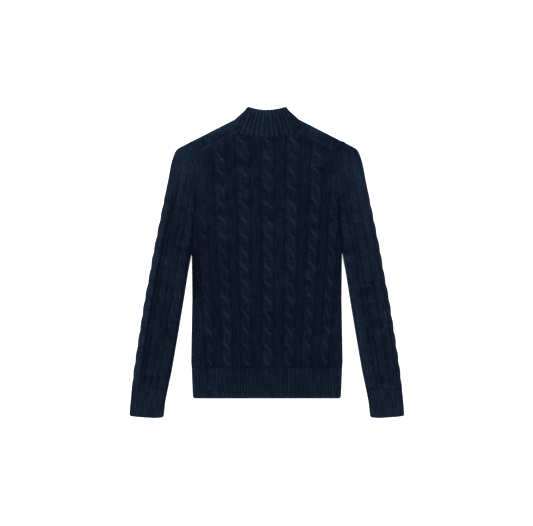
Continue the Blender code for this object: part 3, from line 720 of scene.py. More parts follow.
def lit_soft_spots(x, y, lift):
    """Lower relief, and painted light on the cloth, at the listed spots on and near the shoulders."""
    left, pale = np.ones(lift.shape), np.zeros(lift.shape)
    for mid_x, mid_y, across, along, share, brightening in LIT_SOFT_SPOTS:
        near = bell(x - mid_x, across) * bell(y - mid_y, along)
        left *= 1.0 - (1.0 - share) * near
        pale += brightening * near
    return softer(lift, left), pale


def edge_fade(distance, reach):
    """A share that fades away from a fold, an edge or a seam; mostly it sets painted light on folds and
    edges.
    """
    return np.exp(-np.maximum(distance, 0.0) / reach)


print(len(CREASES), "creases")

# %% [markdown]
# ## Back panel
#
# The back has seven cables, with three ribs between each two. Its lines start on
# the hem and run up to whatever stops them: the neck, a shoulder seam or an
# armhole. The cloth dips where it is sewn, and the dip is painted as shade too,
# which draws the seams as dark lines. Along the shoulder seams, the left one most,
# and low on the sides, light is painted onto the cloth.

# %% Back panel
ROW = 2.2
SEAM_DIP, SEAM_HALF, BAND_DIP = 1.8, 1.8, 0.25
ARMHOLE_DIP, ARMHOLE_HALF = (0.08, 2.78), (1.6, 4.0)
ARMHOLE_LEVELS, ARMHOLE_FOOT = (210.0, 80.0), ARMPIT - 12.0
UNDERLAP = 1.0
BACK_LINES = (6, 18)  # steps of the mesh across each rib and each cable
SIDE_PALE, SIDE_REACH, SIDE_LEVELS = 0.16, 18.0, (-90.0, -130.0)
SHOULDER_PALE, SHOULDER_REACH, SHOULDER_ENDS = (0.5, 0.12), 2.5, (4.0, -8.0)
ABOVE_ALL, HALVINGS = 400.0, 30


def back_limit(x):
    """Highest level of the back panel at a distance from the middle."""
    x = np.abs(x)
    armhole = np.array(ARMHOLE[-2::-1], float)
    over_arm = np.interp(x, armhole[:, 1], armhole[:, 0])
    over_shoulder = slope(NECK_CORNER, SHOULDER_SEAM_END, x)
    limit = np.where(x <= NECK_CORNER[0], read(BACK_NECK, x), over_shoulder)
    return np.where(x <= SHOULDER_SEAM_END[0], limit, over_arm) - SEAM / 2


def meets(places, limit):
    """Level at which each body line passes a limit that depends on where it is."""
    low, high = np.zeros(len(places)), np.full(len(places), ABOVE_ALL)
    for _ in range(HALVINGS):
        level = (low + high) / 2.0
        below = level < limit(body_x(places, level))
        low, high = np.where(below, level, low), np.where(below, high, level)
    return low


def rows_up(foot, top, step):
    """Levels of the rows of points. Above a line's top they all stay on it."""
    return np.minimum(np.arange(foot, top.max() + step, step)[:, None], top)


def body_places(pattern, rib_steps, cable_steps):
    """Lines over the body, with those of its two rounded side folds."""
    places = pattern.places(rib_steps, cable_steps)
    places = np.column_stack([places, np.full(len(places), BODY_HALF - EDGE_ROUND)])
    fold = np.array([[BODY_HALF - step] * 3 for step in EDGE_STEPS])
    return np.concatenate([fold * (-1, -1, 1), places, fold[::-1]])


def with_line(places, x, level):
    """One more line, between its neighbours, that passes x at a level."""
    across = body_x(places, level)
    at = int(np.searchsorted(across, x))
    share = (x - across[at - 1]) / (across[at] - across[at - 1])
    return np.insert(places, at, at_share(places[at - 1:at + 1], share), 0)


def side_rounding(places):
    """Each line's share of the full height, lower where the side fold is round."""
    return rounding(BODY_HALF - places[:, 2])


def seam_dip(distance):
    return SEAM_DIP * bell(np.maximum(distance, 0.0), SEAM_HALF)


def armhole_dip(distance, level):
    """The armhole seam is flat at the shoulder and sinks in towards the armpit."""
    distance = np.where(level > ARMHOLE_FOOT, np.maximum(distance, 0.0), FAR_AWAY)
    deep = share_of(level, *ARMHOLE_LEVELS)
    return at_share(ARMHOLE_DIP, deep) * bell(distance, at_share(ARMHOLE_HALF, deep))


def upper_face(x, level, lift, rounded):
    """Height of the back's face, which comes down to its lip at the side folds."""
    lip = MIDDLE + EDGE_LIP
    return lip + (BACK_FACE - lip + drape(x, level) + lift) * rounded


def stitches_of(wale, level, x):
    """Wale and row of stitches. The rows wander a little, as knitting does when it lies."""
    wander = 0.5 * np.sin(x / 6.1 + level / 17.0) + 0.4 * np.sin(x / 9.7 - level / 29.0 + 1.3)
    return wale, level / COURSE + wander


def back_panel():
    pattern = body_pattern(BACK_CABLES, 1)
    places = body_places(pattern, *BACK_LINES)
    foot = HEM_SEAM + SEAM / 2
    top = meets(places, back_limit)
    level = rows_up(foot, top, ROW)
    x = body_x(places, level)
    out = np.abs(x)
    lift, wale = body_knit(pattern, x, level, foot, top)
    lift, pale = lit_soft_spots(x, level, lift)
    # Painted light low on the sides and along the shoulder seams, the left one most.
    low_side = edge_fade(read(BODY_SIDE, level) - out, SIDE_REACH) * share_of(level, *SIDE_LEVELS)
    shoulder = edge_fade(top - level, SHOULDER_REACH)
    for (end, _), inward in zip((NECK_CORNER, SHOULDER_SEAM_END), SHOULDER_ENDS):
        shoulder *= share_of(out, end, end + inward)
    pale += SIDE_PALE * low_side + by_side(x, SHOULDER_PALE) * shoulder
    sewn = BAND_DIP * (0.5 * seam_dip(top - level) + seam_dip(level - foot))
    sewn = np.maximum(sewn, armhole_dip(read(ARMHOLE, level) - out, level))
    z = np.maximum(upper_face(x, level, lift - sewn, side_rounding(places)), BACK_INSIDE + SEAM / 2)
    tone = lift - sewn + creases(x, level)
    made = cloth("back_knit", (x, level, z), stitches_of(wale, level, x), tone, pale)
    close_inside(made, BACK_INSIDE)
    return finish_piece(made, knit_look, "knit", "back_panel")


back = back_panel()

# %% [markdown]
# ## Front panel
#
# The front lies face down, so its cables are pressed flat on the surface: their
# crests touch it, and only the valleys between them stay clear. Its shoulders run
# over the fold and are sewn to the back behind it. A line that runs straight up
# the front slants on the other side of a slanting fold, like a stripe on folded
# paper, and that is why the ribs on the shoulders slant in the photo. A raised
# line of chain stitches runs along the seam, with a groove above it, and both show
# more on one shoulder than on the other. So each has a value for either side.
#
# No cable runs beside the zip. The middle one ends at the zip's foot.

# %% Front panel
PRESS, PRESSED_TOP = 0.3, 3.0
FRONT_ROW, FRONT_LINES = 2.8, (4, 10)
STRIP_ROWS = (0.4, 1.1, 2.2, *range(4, 26, 2), 26.5, 28.0, 29.2, 30.2, 31.0, 31.8, 32.6, 33.4, 34.0)
STRIP_RELIEF, STRIP_PALE, STRIP_END = 0.3, (0.0, 0.06), (124.0, 144.0)
STRIP_END_LOSS, STRIP_SEAM = 0.7, 0.1
NO_END = 900.0  # the cables run on over the strip, so their ends are out of its reach
CHAIN_STITCH, CHAIN_WAVE, CHAIN_RISE, CHAIN_FADE = 4.4, 0.2, 0.2, (176.0, 160.0)
CHAIN_FROM_SEAM, CHAIN_REACH, CHAIN_PALE = (0.8, 4.0), (1.7, 2.4), (0.6, 0.35)
GROOVE_DEPTH, GROOVE_FROM_SEAM, GROOVE_HALF = (1.1, 0.3), 6.2, 1.8
FOLD_PALE, FOLD_REACH, FOLD_END_LOSS = (1.1, 0.65), (14.0, 11.0), (0.3, 0.65)
ZIP_HALF, ZIP_FOOT, PLACKET_HALF = 5.0, 122.0, 16.0
PLACKET_EDGE, PLACKET_FOOT, PLACKET_LIFT = 2.0, (-14.0, -10.0), PRESSED_TOP - 0.5
ZIP_LINES, ZIP_CLEAR, ZIP_STRAIGHT = 7, 2.0, -20.0
FOLD_LINE_GAP = 0.02


def pressed(lift):
    """Height of the underside, whose crests lie on the surface."""
    return PRESS * np.clip(PRESSED_TOP - lift, 0.0, 9.0)


def under_face(lift, rounded):
    """Height of the front's face, which comes up to its lip at the side folds."""
    lip = MIDDLE - EDGE_LIP
    return lip + (pressed(lift) - lip) * rounded


def front_fold(x):
    """Level at which the front ends or folds over: neck, shoulder or armhole."""
    x = np.abs(x)
    share = (x - NECK_FOLD[0]) / (SHOULDER_SEAM_END[0] - NECK_FOLD[0])
    shoulder = at_share((NECK_FOLD[1], SHOULDER_FOLD_END[1]), share)
    limit = np.where(x <= NECK_FOLD[0], read(FRONT_NECK, x) - SEAM, shoulder)
    return np.where(x <= SHOULDER_SEAM_END[0], limit, back_limit(x))


def spread_out(x, level):
    """The shoulder widens above the seam's end, and the lines spread out with it."""
    share = share_of(np.abs(x), NECK_FOLD[0], SHOULDER_SEAM_END[0])
    wider = read(ARMHOLE, level) - SHOULDER_SEAM_END[0] - SEAM
    return x + np.sign(x) * share * np.where(level > SHOULDER_SEAM_END[1], wider, 0.0)


def placket(x, level, lift):
    """Smooth cloth beside the zip."""
    near = share_of(np.abs(x), PLACKET_HALF, PLACKET_HALF - PLACKET_EDGE)
    near = near * share_of(level - ZIP_FOOT, *PLACKET_FOOT)
    return at_share((lift, PLACKET_LIFT), near)


def shoulder_strip(pattern, x, level, over):
    """Rows that carry the front on over the shoulder fold and down to the seam."""
    side = np.sign(x)
    share = (np.abs(x) - NECK_FOLD[0]) / (SHOULDER_FOLD_END[0] - NECK_FOLD[0])
    seam_x = side * at_share((NECK_CORNER[0], SHOULDER_SEAM_END[0] - SEAM), share)
    seam_y = at_share((NECK_CORNER[1], SHOULDER_SEAM_END[1]), share)
    length = np.hypot(seam_x - x, seam_y - level)
    down = np.array(STRIP_ROWS)[:, None] / STRIP_ROWS[-1] * length
    to_seam = length - down
    strip_x = at_share((x, seam_x), down / length)
    strip_y = at_share((level, seam_y), down / length)
    slant = math.atan2(NECK_FOLD[1] - SHOULDER_FOLD_END[1], SHOULDER_FOLD_END[0] - NECK_FOLD[0])
    origin_x = strip_x + side * down * math.sin(slant)
    origin_y = slope(NECK_FOLD, SHOULDER_FOLD_END, np.abs(origin_x)) + down / math.cos(slant)
    lift, wale = body_knit(pattern, origin_x, origin_y, -NO_END, NO_END)
    along = np.hypot(seam_x - side * NECK_CORNER[0], seam_y - NECK_CORNER[1])
    from_seam, reach, groove_depth, chain_pale, fold_pale, fold_reach, end_loss = [
        by_side(side, pair) for pair in (CHAIN_FROM_SEAM, CHAIN_REACH, GROOVE_DEPTH, CHAIN_PALE,
                                         FOLD_PALE, FOLD_REACH, FOLD_END_LOSS)]
    wave = CHAIN_WAVE * (1.0 - np.cos(2 * np.pi * along / CHAIN_STITCH))
    chain = bell(to_seam - from_seam, reach) * (1.0 - wave)
    groove = groove_depth * bell(to_seam - GROOVE_FROM_SEAM, GROOVE_HALF)
    end = share_of(np.abs(strip_x), *STRIP_END)
    lift = softer(lift, STRIP_RELIEF * (1.0 - STRIP_END_LOSS * end))
    lift += CHAIN_RISE * chain - groove - STRIP_SEAM * seam_dip(to_seam)
    z = MIDDLE + (BACK_FACE - MIDDLE + drape(strip_x, strip_y) + lift) * rounding(down)
    # Painted light on the fold over the shoulder, the left one most and less towards the strip's outer
    # end; the chain is paler too.
    pale = by_side(side, STRIP_PALE) + fold_pale * edge_fade(down, fold_reach)
    pale *= 1.0 - end_loss * end
    pale += chain_pale * chain * share_of(np.abs(strip_x), *CHAIN_FADE)
    beside = (x, level, 0.0, 0.0, 0.0, 0.0, 0.0)
    return [np.where(over, row, other) for row, other in
            zip((strip_x, strip_y, z, lift, pale, wale, origin_y), beside)]


def front_panel():
    pattern = body_pattern(FRONT_CABLES, -1)
    places = body_places(pattern, *FRONT_LINES)
    middle = np.abs(places[:, :2]).max(1) < ZIP_HALF + ZIP_CLEAR
    zip_x = np.linspace(-ZIP_HALF, ZIP_HALF, ZIP_LINES)[:, None]
    zip_places = zip_x * (1, 1, 0) + (0, 0, BODY_HALF / 2)
    first = np.argmax(middle)
    places = np.concatenate([places[:first], zip_places, places[first + middle.sum():]])
    for side in (LEFT, RIGHT):
        places = with_line(places, side * (NECK_FOLD[0] + FOLD_LINE_GAP), NECK_FOLD[1])
        end = SHOULDER_SEAM_END[0] - FOLD_LINE_GAP
        places = with_line(places, side * end, SHOULDER_FOLD_END[1])
    foot = HEM_SEAM + SEAM / 2
    fold = meets(places, front_fold)
    rows = np.unique(np.append(np.arange(foot, fold.max() + FRONT_ROW, FRONT_ROW), ZIP_FOOT))
    level = np.minimum(rows[:, None], fold)
    x = body_x(places, level)
    at_zip = (np.abs(places[:, 0]) <= ZIP_HALF) & (level > ZIP_FOOT + ZIP_STRAIGHT)
    x = np.where(at_zip, places[:, 0], x)
    lift, wale = body_knit(pattern, x, level, foot, fold)
    lift = placket(x, level, lift)
    over = (np.abs(x[-1]) > NECK_FOLD[0]) & (np.abs(x[-1]) < SHOULDER_SEAM_END[0])
    x = spread_out(x, level)
    lift -= seam_dip(np.where(over, FAR_AWAY, fold - level)) + BAND_DIP * seam_dip(level - foot)
    z = under_face(lift, side_rounding(places))
    z = np.where(over, MIDDLE + (z - MIDDLE) * rounding(fold - level), z)
    strip = shoulder_strip(pattern, x[-1], level[-1], over)
    drop = np.zeros((len(x) + len(strip[0]) - 1, len(places) - 1), bool)
    in_opening = np.abs(places[:-1, 0] + places[1:, 0]) < 2 * ZIP_HALF
    drop[:len(x) - 1] = in_opening & (rows[:-1, None] >= ZIP_FOOT)
    drop[len(x) - 1:] = ~(over[1:] & over[:-1])
    x, level, z, lift, pale, wale, course = [
        np.concatenate(pair) for pair in zip((x, level, z, lift, 0.0 * x, wale, level), strip)]
    stitches = stitches_of(wale, course, x)
    made = cloth("front_knit", (x, level, z), stitches, lift, pale, drop, flip=True)
    thicken(made, FRONT_WALL)
    return finish_piece(made, knit_look, "knit", "front_panel")


front = front_panel()

# %% [markdown]
# ## Hem ribs
#
# The hem is a band of plain ribs, one half on the back and one on the front. The
# ribs end in a rounded, bound-off edge, and the two corners are round too.

# %% Hem ribs
HEM_RIBS, HEM_CORNER, HEM_SIDE = 53, 6.0, BODY_SIDE[0][1]
BAND_RELIEF, BAND_PRESSED = (-0.3, 1.5), 1.5
BAND_STEPS = (0.0, 0.004, 0.012, 0.022, 0.036, *np.linspace(0.06, 1.0, 33))
RIB_STEPS = 6
END_ROUND, END_HEIGHT = 2.5, (0.35, 1.0)
HEM_END_PALE, HEM_END_REACH = 0.6, 9.0
HEM_SIDE_PALE, HEM_SIDE_REACH = (0.7, 0.35), 8.0


def hem_end(x):
    """Level of the hem's lower edge, which is rounded at its two corners."""
    return HEM_BOTTOM + HEM_CORNER * (1.0 - rounding(HEM_SIDE - np.abs(x), HEM_CORNER))


def end_rounding(distance):
    """Share of the full height near a bound-off edge."""
    return at_share(END_HEIGHT, rounding(distance, END_ROUND))


def band_rows(low, high):
    """Rows of a ribbed band, closer together at its bound-off edge."""
    return at_share((low, high), np.array(BAND_STEPS)[:, None])


def hem(name, node, upper):
    inset = BODY_HALF - EDGE_ROUND
    ribs = np.linspace(-inset, inset, HEM_RIBS * RIB_STEPS + 1)[1:-1]
    fold = BODY_HALF - np.array(EDGE_STEPS)
    place = np.concatenate([-fold, ribs, fold[::-1]])
    level = band_rows(hem_end(place * HEM_SIDE / BODY_HALF), HEM_SEAM - SEAM / 2)
    x = place * read(BODY_SIDE, level) / BODY_HALF
    phase = (place + inset) / (2.0 * inset) * HEM_RIBS
    lift = rib_lift(phase, *BAND_RELIEF) - BAND_DIP * seam_dip(HEM_SEAM - level)
    from_side, from_end = BODY_HALF - np.abs(place), level - level[0]
    # Painted light along the bound-off edge and at the side folds, the left side most.
    pale = HEM_END_PALE * edge_fade(from_end, HEM_END_REACH)
    pale += by_side(x, HEM_SIDE_PALE) * edge_fade(from_side, HEM_SIDE_REACH)
    rounded = rounding(from_side) * end_rounding(from_end)
    z = upper_face(x, level, lift, rounded) if upper else under_face(lift + BAND_PRESSED, rounded)
    stitches = stitches_of(RIB_WALES * phase, level, x)
    made = cloth(name, (x, level, z), stitches, lift, pale, flip=not upper)
    close_inside(made, BACK_INSIDE if upper else FRONT_INSIDE)
    return finish_piece(made, rib_look, "rib", node)


hem_back = hem("hem_rib_back_knit", "hem_rib_back", True)
hem_front = hem("hem_rib_front_knit", "hem_rib_front", False)

# %% [markdown]
# ## Sleeves
#
# Each sleeve is knitted flat and closed into a tube by the seam under the arm.
# Laid flat, the tube has an upper and a lower layer with a rounded fold on either
# side. Three cables run down the upper layer and three down the lower one. The
# outer fold follows its cable, so the outline of the sleeve is gently wavy. It is
# also where the most light is painted onto the cloth. The wales of the lower layer
# are counted from 40 on, so that they don't repeat the shades of the upper one.

# %% Sleeves
SLEEVE_WIDTH, SLEEVE_ROW = 86.0, 2.7
UPPER_LINES, UNDER_LINES = (5, 14), (3, 8)
SLEEVE_CABLES = {LEFT: [(-0.01, 0.19), (0.335, 0.515), (0.695, 0.925)],
                 RIGHT: [(-0.075, 0.1), (0.335, 0.535), (0.695, 0.925)]}
SLEEVE_RIBS = {LEFT: [1, 2, 2, 1], RIGHT: [1, 3, 2, 1]}
SLEEVE_RELIEF, TONE_RELIEF, BRIGHTEST = 1.05, 1.35, 2.0
SLEEVE_PALE, SLEEVE_FOOT_PALE, SLEEVE_FOOT_REACH = 0.12, 0.15, 14.0
RIGHT_INNER_PALE, RIGHT_INNER_REACH = 0.95, 8.0
OUTER_PALE = {
    # painted light on the outer fold low and high, the levels between which it changes, its reach
    LEFT: ((0.5, 0.25), (120.0, 180.0), 16.0),
    RIGHT: ((0.12, 0.408), (CUFF_SEAM, 297.0), 25.0),
}
CAP_LEFT_OVER, CAP_FADE = 0.2, (222.0, 250.0)
EDGE_WAVE, WAVE_REACH, WAVE_REST = 1.7, 0.06, 0.64
WAVE_START, WAVE_FADE = 20.0, (180.0, 140.0)
UNDER_WALES = 40.0


def sleeve_x(share, inset, level):
    """Distance of a sleeve line from the middle, at a share across and an inset in mm."""
    return at_share((read(SLEEVE_OUTER, level), read(SLEEVE_INNER, level)), share) - inset


def sleeve_top(share, inset):
    """Level at which each sleeve line meets the armhole seam."""
    level = np.arange(ARMPIT - 1.0, SHOULDER_FOLD_END[1], 0.25)[:, None]
    outside = sleeve_x(share, inset, level) > read(ARMHOLE, level) - UNDERLAP
    count = np.cumprod(outside, 0).sum(0)
    return level[np.maximum(count - 1, 0), 0]


def ring(top_shares, under_shares):
    """Share across, inset, distance from the fold and layer of every line round a tube."""
    steps = np.array(EDGE_STEPS)
    rows = [(0.0, step, step, 1) for step in steps]
    rows += [(share, 0.0, EDGE_ROUND, 1) for share in top_shares]
    rows += [(1.0, -step, step, 1) for step in steps[::-1]]
    rows += [(1.0, -step, step, -1) for step in steps[1:]]
    rows += [(share, 0.0, EDGE_ROUND, -1) for share in under_shares[::-1]]
    rows += [(0.0, step, step, -1) for step in steps[:0:-1]]
    rows.append(rows[0])
    return np.array(rows).T


def inside_edges(pattern, *steps):
    """Shares across of a pattern's lines that keep clear of the two folds."""
    shares = pattern.places(*steps)[:, 0]
    inset = (EDGE_ROUND + 0.6) / SLEEVE_WIDTH
    return shares[(shares > inset) & (shares < 1.0 - inset)]


def tube_face(upper, over, under, rounded, middle=MIDDLE):
    """Height of a flattened tube's two layers, which meet at its folds."""
    return middle + (np.where(upper > 0, over, under) - middle) * rounded


def outer_pale(side, level):
    """Painted light on a sleeve's outer fold, and how far in it reaches."""
    pales, levels, reach = OUTER_PALE[side]
    pale = at_share(pales, share_of(level, *levels))
    if side == RIGHT:
        pale = pale * at_share((1.0, CAP_LEFT_OVER), share_of(level, *CAP_FADE))
    return pale, reach


def sleeve(word, side):
    pairs = [((a, a), (b, b)) for a, b in SLEEVE_CABLES[side]]
    upper_pattern, under_pattern = [
        Pattern(pairs, (0.0, 0.0, 0.0), SLEEVE_RIBS[side], SLEEVE_WIDTH, twist)
        for twist in (-side, side)]
    share, inset, fold, upper = ring(inside_edges(upper_pattern, *UPPER_LINES),
                                     inside_edges(under_pattern, *UNDER_LINES))
    foot = CUFF_SEAM + SEAM / 2
    top = sleeve_top(share, inset)
    level = rows_up(foot, top, SLEEVE_ROW)
    x = sleeve_x(share, inset, level)
    outer, inner = read(SLEEVE_OUTER, level), read(SLEEVE_INNER, level)
    place = (outer - x) / (outer - inner)
    lift, wale = upper_pattern.knit(place, 0.0, level, foot, top)
    under_lift, under_wale = under_pattern.knit(place, 0.0, level, foot, top)
    lift = np.where(upper > 0, lift, under_lift)
    wale = np.where(upper > 0, wale, under_wale + UNDER_WALES)
    lift, pale = lit_soft_spots(side * x, level, softer(lift, SLEEVE_RELIEF))
    # Painted light on the outer fold and, on the right sleeve, along the inner fold below the armpit;
    # the sleeve is also a little lighter all over and at its foot.
    outside, reach = outer_pale(side, level)
    pale += SLEEVE_PALE + outside * np.exp(-((place * SLEEVE_WIDTH / reach) ** 4))
    pale += SLEEVE_FOOT_PALE * edge_fade(level - foot, SLEEVE_FOOT_REACH)
    if side == RIGHT:
        inner_edge = edge_fade((1.0 - place) * SLEEVE_WIDTH, RIGHT_INNER_REACH)
        pale += RIGHT_INNER_PALE * inner_edge * (level < ARMPIT)
    sewn = BAND_DIP * seam_dip(level - foot)
    sewn = np.maximum(sewn, armhole_dip(x - read(ARMHOLE, level), level))
    scallop = np.abs(np.cos(np.pi * (level - CABLE_STARTS) / CABLE_REPEAT)) - WAVE_REST
    wave = EDGE_WAVE * scallop * np.exp(-place / WAVE_REACH)
    wave = wave * share_of(level, foot, foot + WAVE_START) * share_of(level, *WAVE_FADE)
    x = side * (x + wave)
    over = BACK_FACE + drape(x, level) + lift - sewn
    z = tube_face(upper, over, pressed(lift - sewn), rounding(fold))
    tone = np.minimum(softer(lift, TONE_RELIEF), BRIGHTEST) - sewn
    tone += np.where(upper > 0, creases(x, level), 0.0)
    stitches = stitches_of(wale, level, x)
    made = cloth(f"{word}_sleeve_knit", (x, level, z), stitches, tone, pale, flip=side == RIGHT)
    thicken(made)
    return finish_piece(made, knit_look, "knit", f"sleeve_{word}")


sleeve_left, sleeve_right = [sleeve(*word_and_side) for word_and_side in SIDES]

# %% [markdown]
# ## Cuffs
#
# The cuffs are ribbed tubes like the hem. Their lower ends aren't quite straight:
# the middle hangs lower than the two folds.

# %% Cuffs
CUFF_RIBS = 13
CUFF_PALE, CUFF_END_PALE, CUFF_END_REACH = 0.29, 0.3, 10.0
CUFF_SEAM_DARK, CUFF_SEAM_REACH = 0.12, 12.0
CUFF_END = [(0, -366.5), (0.05, -368.5), (0.2, -370.2), (0.5, -372), (0.75, -373.3),
            (0.95, -371.8), (1, -369)]


def cuff(word, side):
    inset_share = EDGE_ROUND / SLEEVE_WIDTH
    ribs = np.linspace(inset_share, 1.0 - inset_share, CUFF_RIBS * RIB_STEPS + 1)[1:-1]
    share, inset, fold, upper = ring(ribs, ribs[::2])
    place = share + inset / SLEEVE_WIDTH
    level = band_rows(read(CUFF_END, place), CUFF_SEAM - SEAM / 2)
    phase = (place - inset_share) / (1.0 - 2.0 * inset_share) * CUFF_RIBS
    x = side * sleeve_x(share, inset, level)
    lift = rib_lift(phase, *BAND_RELIEF) - BAND_DIP * seam_dip(CUFF_SEAM - level)
    from_end = level - level[0]
    # Painted light towards the cuff's rounded end; the cuff is darker towards its seam and a little
    # lighter all over.
    pale = CUFF_PALE + CUFF_END_PALE * edge_fade(from_end, CUFF_END_REACH)
    pale -= CUFF_SEAM_DARK * edge_fade(CUFF_SEAM - level, CUFF_SEAM_REACH)
    over = BACK_FACE + lift + drape(x, level)
    rounded = rounding(fold) * end_rounding(from_end)
    z = tube_face(upper, over, pressed(lift + BAND_PRESSED), rounded)
    tone = lift + np.where(upper > 0, creases(x, level), 0.0)
    stitches = stitches_of(RIB_WALES * phase, level, x)
    made = cloth(f"{word}_cuff_knit", (x, level, z), stitches, tone, pale, flip=side == RIGHT)
    thicken(made)
    return finish_piece(made, rib_look, "rib", f"cuff_{word}")


cuff_left, cuff_right = [cuff(*word_and_side) for word_and_side in SIDES]

# %% [markdown]
# ## Collar
#
# The collar is one ribbed strip. It starts at the zip, goes round the neck and
# comes back to the zip on the other side. Its ribs are the same all along, but
# the upper edge is shorter than the seam, so they fan out from one point that
# lies above the collar. Between them the linking seam shows as dark dashes. Light
# is painted onto its top edge and its folds, the left fold most.

# %% Collar
COLLAR_APEX, COLLAR_SPREAD = 459.5, 0.0805
COLLAR_TOP, COLLAR_BACK_DIP, COLLAR_FRONT_TOP, COLLAR_TOP_HALF = 373.3, 366.0, 342.0, 43.2
COLLAR_FACE, COLLAR_MIDDLE = 7.8, 4.3
COLLAR_RIB_STEPS, COLLAR_FRONT_RIBS, COLLAR_RIB_WALES = 8, 8, 3
COLLAR_ROWS = (*np.linspace(0.0, 0.92, 30), 0.94, 0.96, 0.975, 0.988, 0.996, 1.0)
COLLAR_RELIEF, COLLAR_PRESSED, COLLAR_TONE = (-0.2, 1.7), 1.0, -0.24
COLLAR_TOP_PALE, COLLAR_FOLD_PALE, COLLAR_FOLD_TONE = 1.1, (0.95, 0.25), (1.6, 0.2)
COLLAR_TOP_REACH, COLLAR_FOLD_REACH, COLLAR_TONE_REACH = 8.0, 14.0, 8.0
DASH_DEPTH, DASH_AT_SIDE, DASH_FADE = (0.1, 1.6), 0.85, (26.0, 0.0)
CORNER_AND_FOLD_GAPS = (0.4, -0.3), (0.0, -0.3)
COLLAR_SIDE_STEP, COLLAR_SIDE_TOP, COLLAR_UNDER_LINES = 1.9, (0.06, 1.0), (5.5, 112.0, 64)
CLEAR_OF_FOLD = 30.0


def collar_top(x):
    """Level of the collar's upper edge at the back, lower in the middle."""
    share = share_of(np.abs(x), 0.0, COLLAR_TOP_HALF)
    return at_share((COLLAR_BACK_DIP, COLLAR_TOP), share**2)


def fan(spread, limit):
    """Where ribs that fan out from the apex meet a level that varies."""
    level = np.full(len(spread), COLLAR_TOP)
    for _ in range(20):
        level = limit(spread * (COLLAR_APEX - level))
    return np.stack([spread * (COLLAR_APEX - level), level], -1)


def collar_lines():
    """Base, top, rib phase, distance from the fold and layer of the right half's lines."""
    widest = NECK_CORNER[0] / (COLLAR_APEX - NECK_CORNER[1])
    spread = np.arange(0.0, widest, COLLAR_SPREAD / COLLAR_RIB_STEPS)
    base = fan(spread, lambda x: read(BACK_NECK, np.abs(x)) - UNDERLAP)
    top = fan(spread, collar_top)
    corner, fold = np.array((NECK_CORNER, NECK_FOLD)) + CORNER_AND_FOLD_GAPS
    length = math.dist(corner, fold)
    away = np.array([*np.arange(length, EDGE_ROUND + 1.0, -COLLAR_SIDE_STEP), *EDGE_STEPS[::-1]])
    share = 1.0 - away[:, None] / length
    side_base = at_share((corner, fold), share)
    top_fold = np.array([COLLAR_TOP_HALF, COLLAR_TOP])
    side_top = at_share((top[-1], top_fold), np.clip(at_share(COLLAR_SIDE_TOP, share), 0.0, 1.0))
    side_phase = side_base[:, 0] / (COLLAR_APEX - side_base[:, 1]) / COLLAR_SPREAD
    neck = np.array(FRONT_NECK[::-1], float)
    reach = np.concatenate([[0.0], np.cumsum(np.hypot(*np.diff(neck, axis=0).T))])
    stop = np.interp(-ZIP_HALF, -neck[:, 0], reach)
    under = np.array([*EDGE_STEPS[1:], *np.linspace(*COLLAR_UNDER_LINES)])
    under = under * stop / under[-1]
    under_base = np.stack([np.interp(under, reach, line) for line in neck.T], -1)
    under_x = at_share((COLLAR_TOP_HALF, ZIP_HALF), under / stop)
    under_y = at_share((COLLAR_FRONT_TOP, COLLAR_TOP), (under_x / COLLAR_TOP_HALF) ** 2)
    under_phase = side_phase[-1] + under / stop * COLLAR_FRONT_RIBS
    base = np.concatenate([base, side_base, under_base])
    top = np.concatenate([top, side_top, np.stack([under_x, under_y], -1)])
    phase = np.concatenate([spread / COLLAR_SPREAD, side_phase, under_phase])
    from_fold = np.concatenate([np.full(len(spread), CLEAR_OF_FOLD), away, under])
    upper = np.concatenate([np.ones(len(spread) + len(away)), -np.ones(len(under))])
    return base, top, phase, from_fold, upper


def collar():
    base, top, phase, fold, upper = collar_lines()
    base, top = [np.concatenate([ends[:0:-1] * (-1, 1), ends]) for ends in (base, top)]
    phase, fold, upper = [np.concatenate([line[:0:-1], line]) for line in (phase, fold, upper)]
    share = np.array(COLLAR_ROWS)[:, None]
    x, y = np.moveaxis(at_share((base, top), share[..., None]), -1, 0)
    length = np.hypot(*(top - base).T)
    from_base, from_top = share * length, (1.0 - share) * length
    valley = 1.0 - np.abs(np.sin(np.pi * (phase + 0.5)))
    at_side = share_of(fold, *DASH_FADE) * (upper > 0)
    dashes = at_share(DASH_DEPTH, valley**2) * (1.0 - DASH_AT_SIDE * at_side)
    lift = rib_lift(phase + 0.5, *COLLAR_RELIEF) - seam_dip(1.2 * from_base) * dashes
    # Painted light along the top edge and at the folds; fold_tone also lightens the folds' tone.
    pale = COLLAR_TOP_PALE * edge_fade(from_top, COLLAR_TOP_REACH)
    pale += by_side(x, COLLAR_FOLD_PALE) * edge_fade(fold, COLLAR_FOLD_REACH)
    over = COLLAR_FACE + lift + drape(x, y)
    rounded = rounding(0.8 * fold) * end_rounding(from_top)
    z = tube_face(upper, over, pressed(lift + COLLAR_PRESSED), rounded, COLLAR_MIDDLE)
    fold_tone = by_side(x, COLLAR_FOLD_TONE) * edge_fade(fold, COLLAR_TONE_REACH) * (upper > 0)
    stitches = (COLLAR_RIB_WALES * phase, from_base / COURSE)
    made = cloth("collar_knit", (x, y, z), stitches, COLLAR_TONE + lift + fold_tone, pale)
    thicken(made)
    return finish_piece(made, rib_look, "rib", "collar")


collar_knit = collar()

# %% [markdown]
# ## Zip
#
# The zip is on the front, so it lies underneath. Two woven tapes are sewn behind
# the edges of the opening, and a row of stitches on either side holds them. Each
# tape carries a row of metal teeth, and the teeth of one row stand between those
# of the other. The slider is closed at the top, and its pull tab hangs from a
# bridge on the slider's outer face.
#
# These are small machined parts, so each starts as a box with rounded edges. One
# tooth and one stitch are modelled, and an Array modifier repeats them.

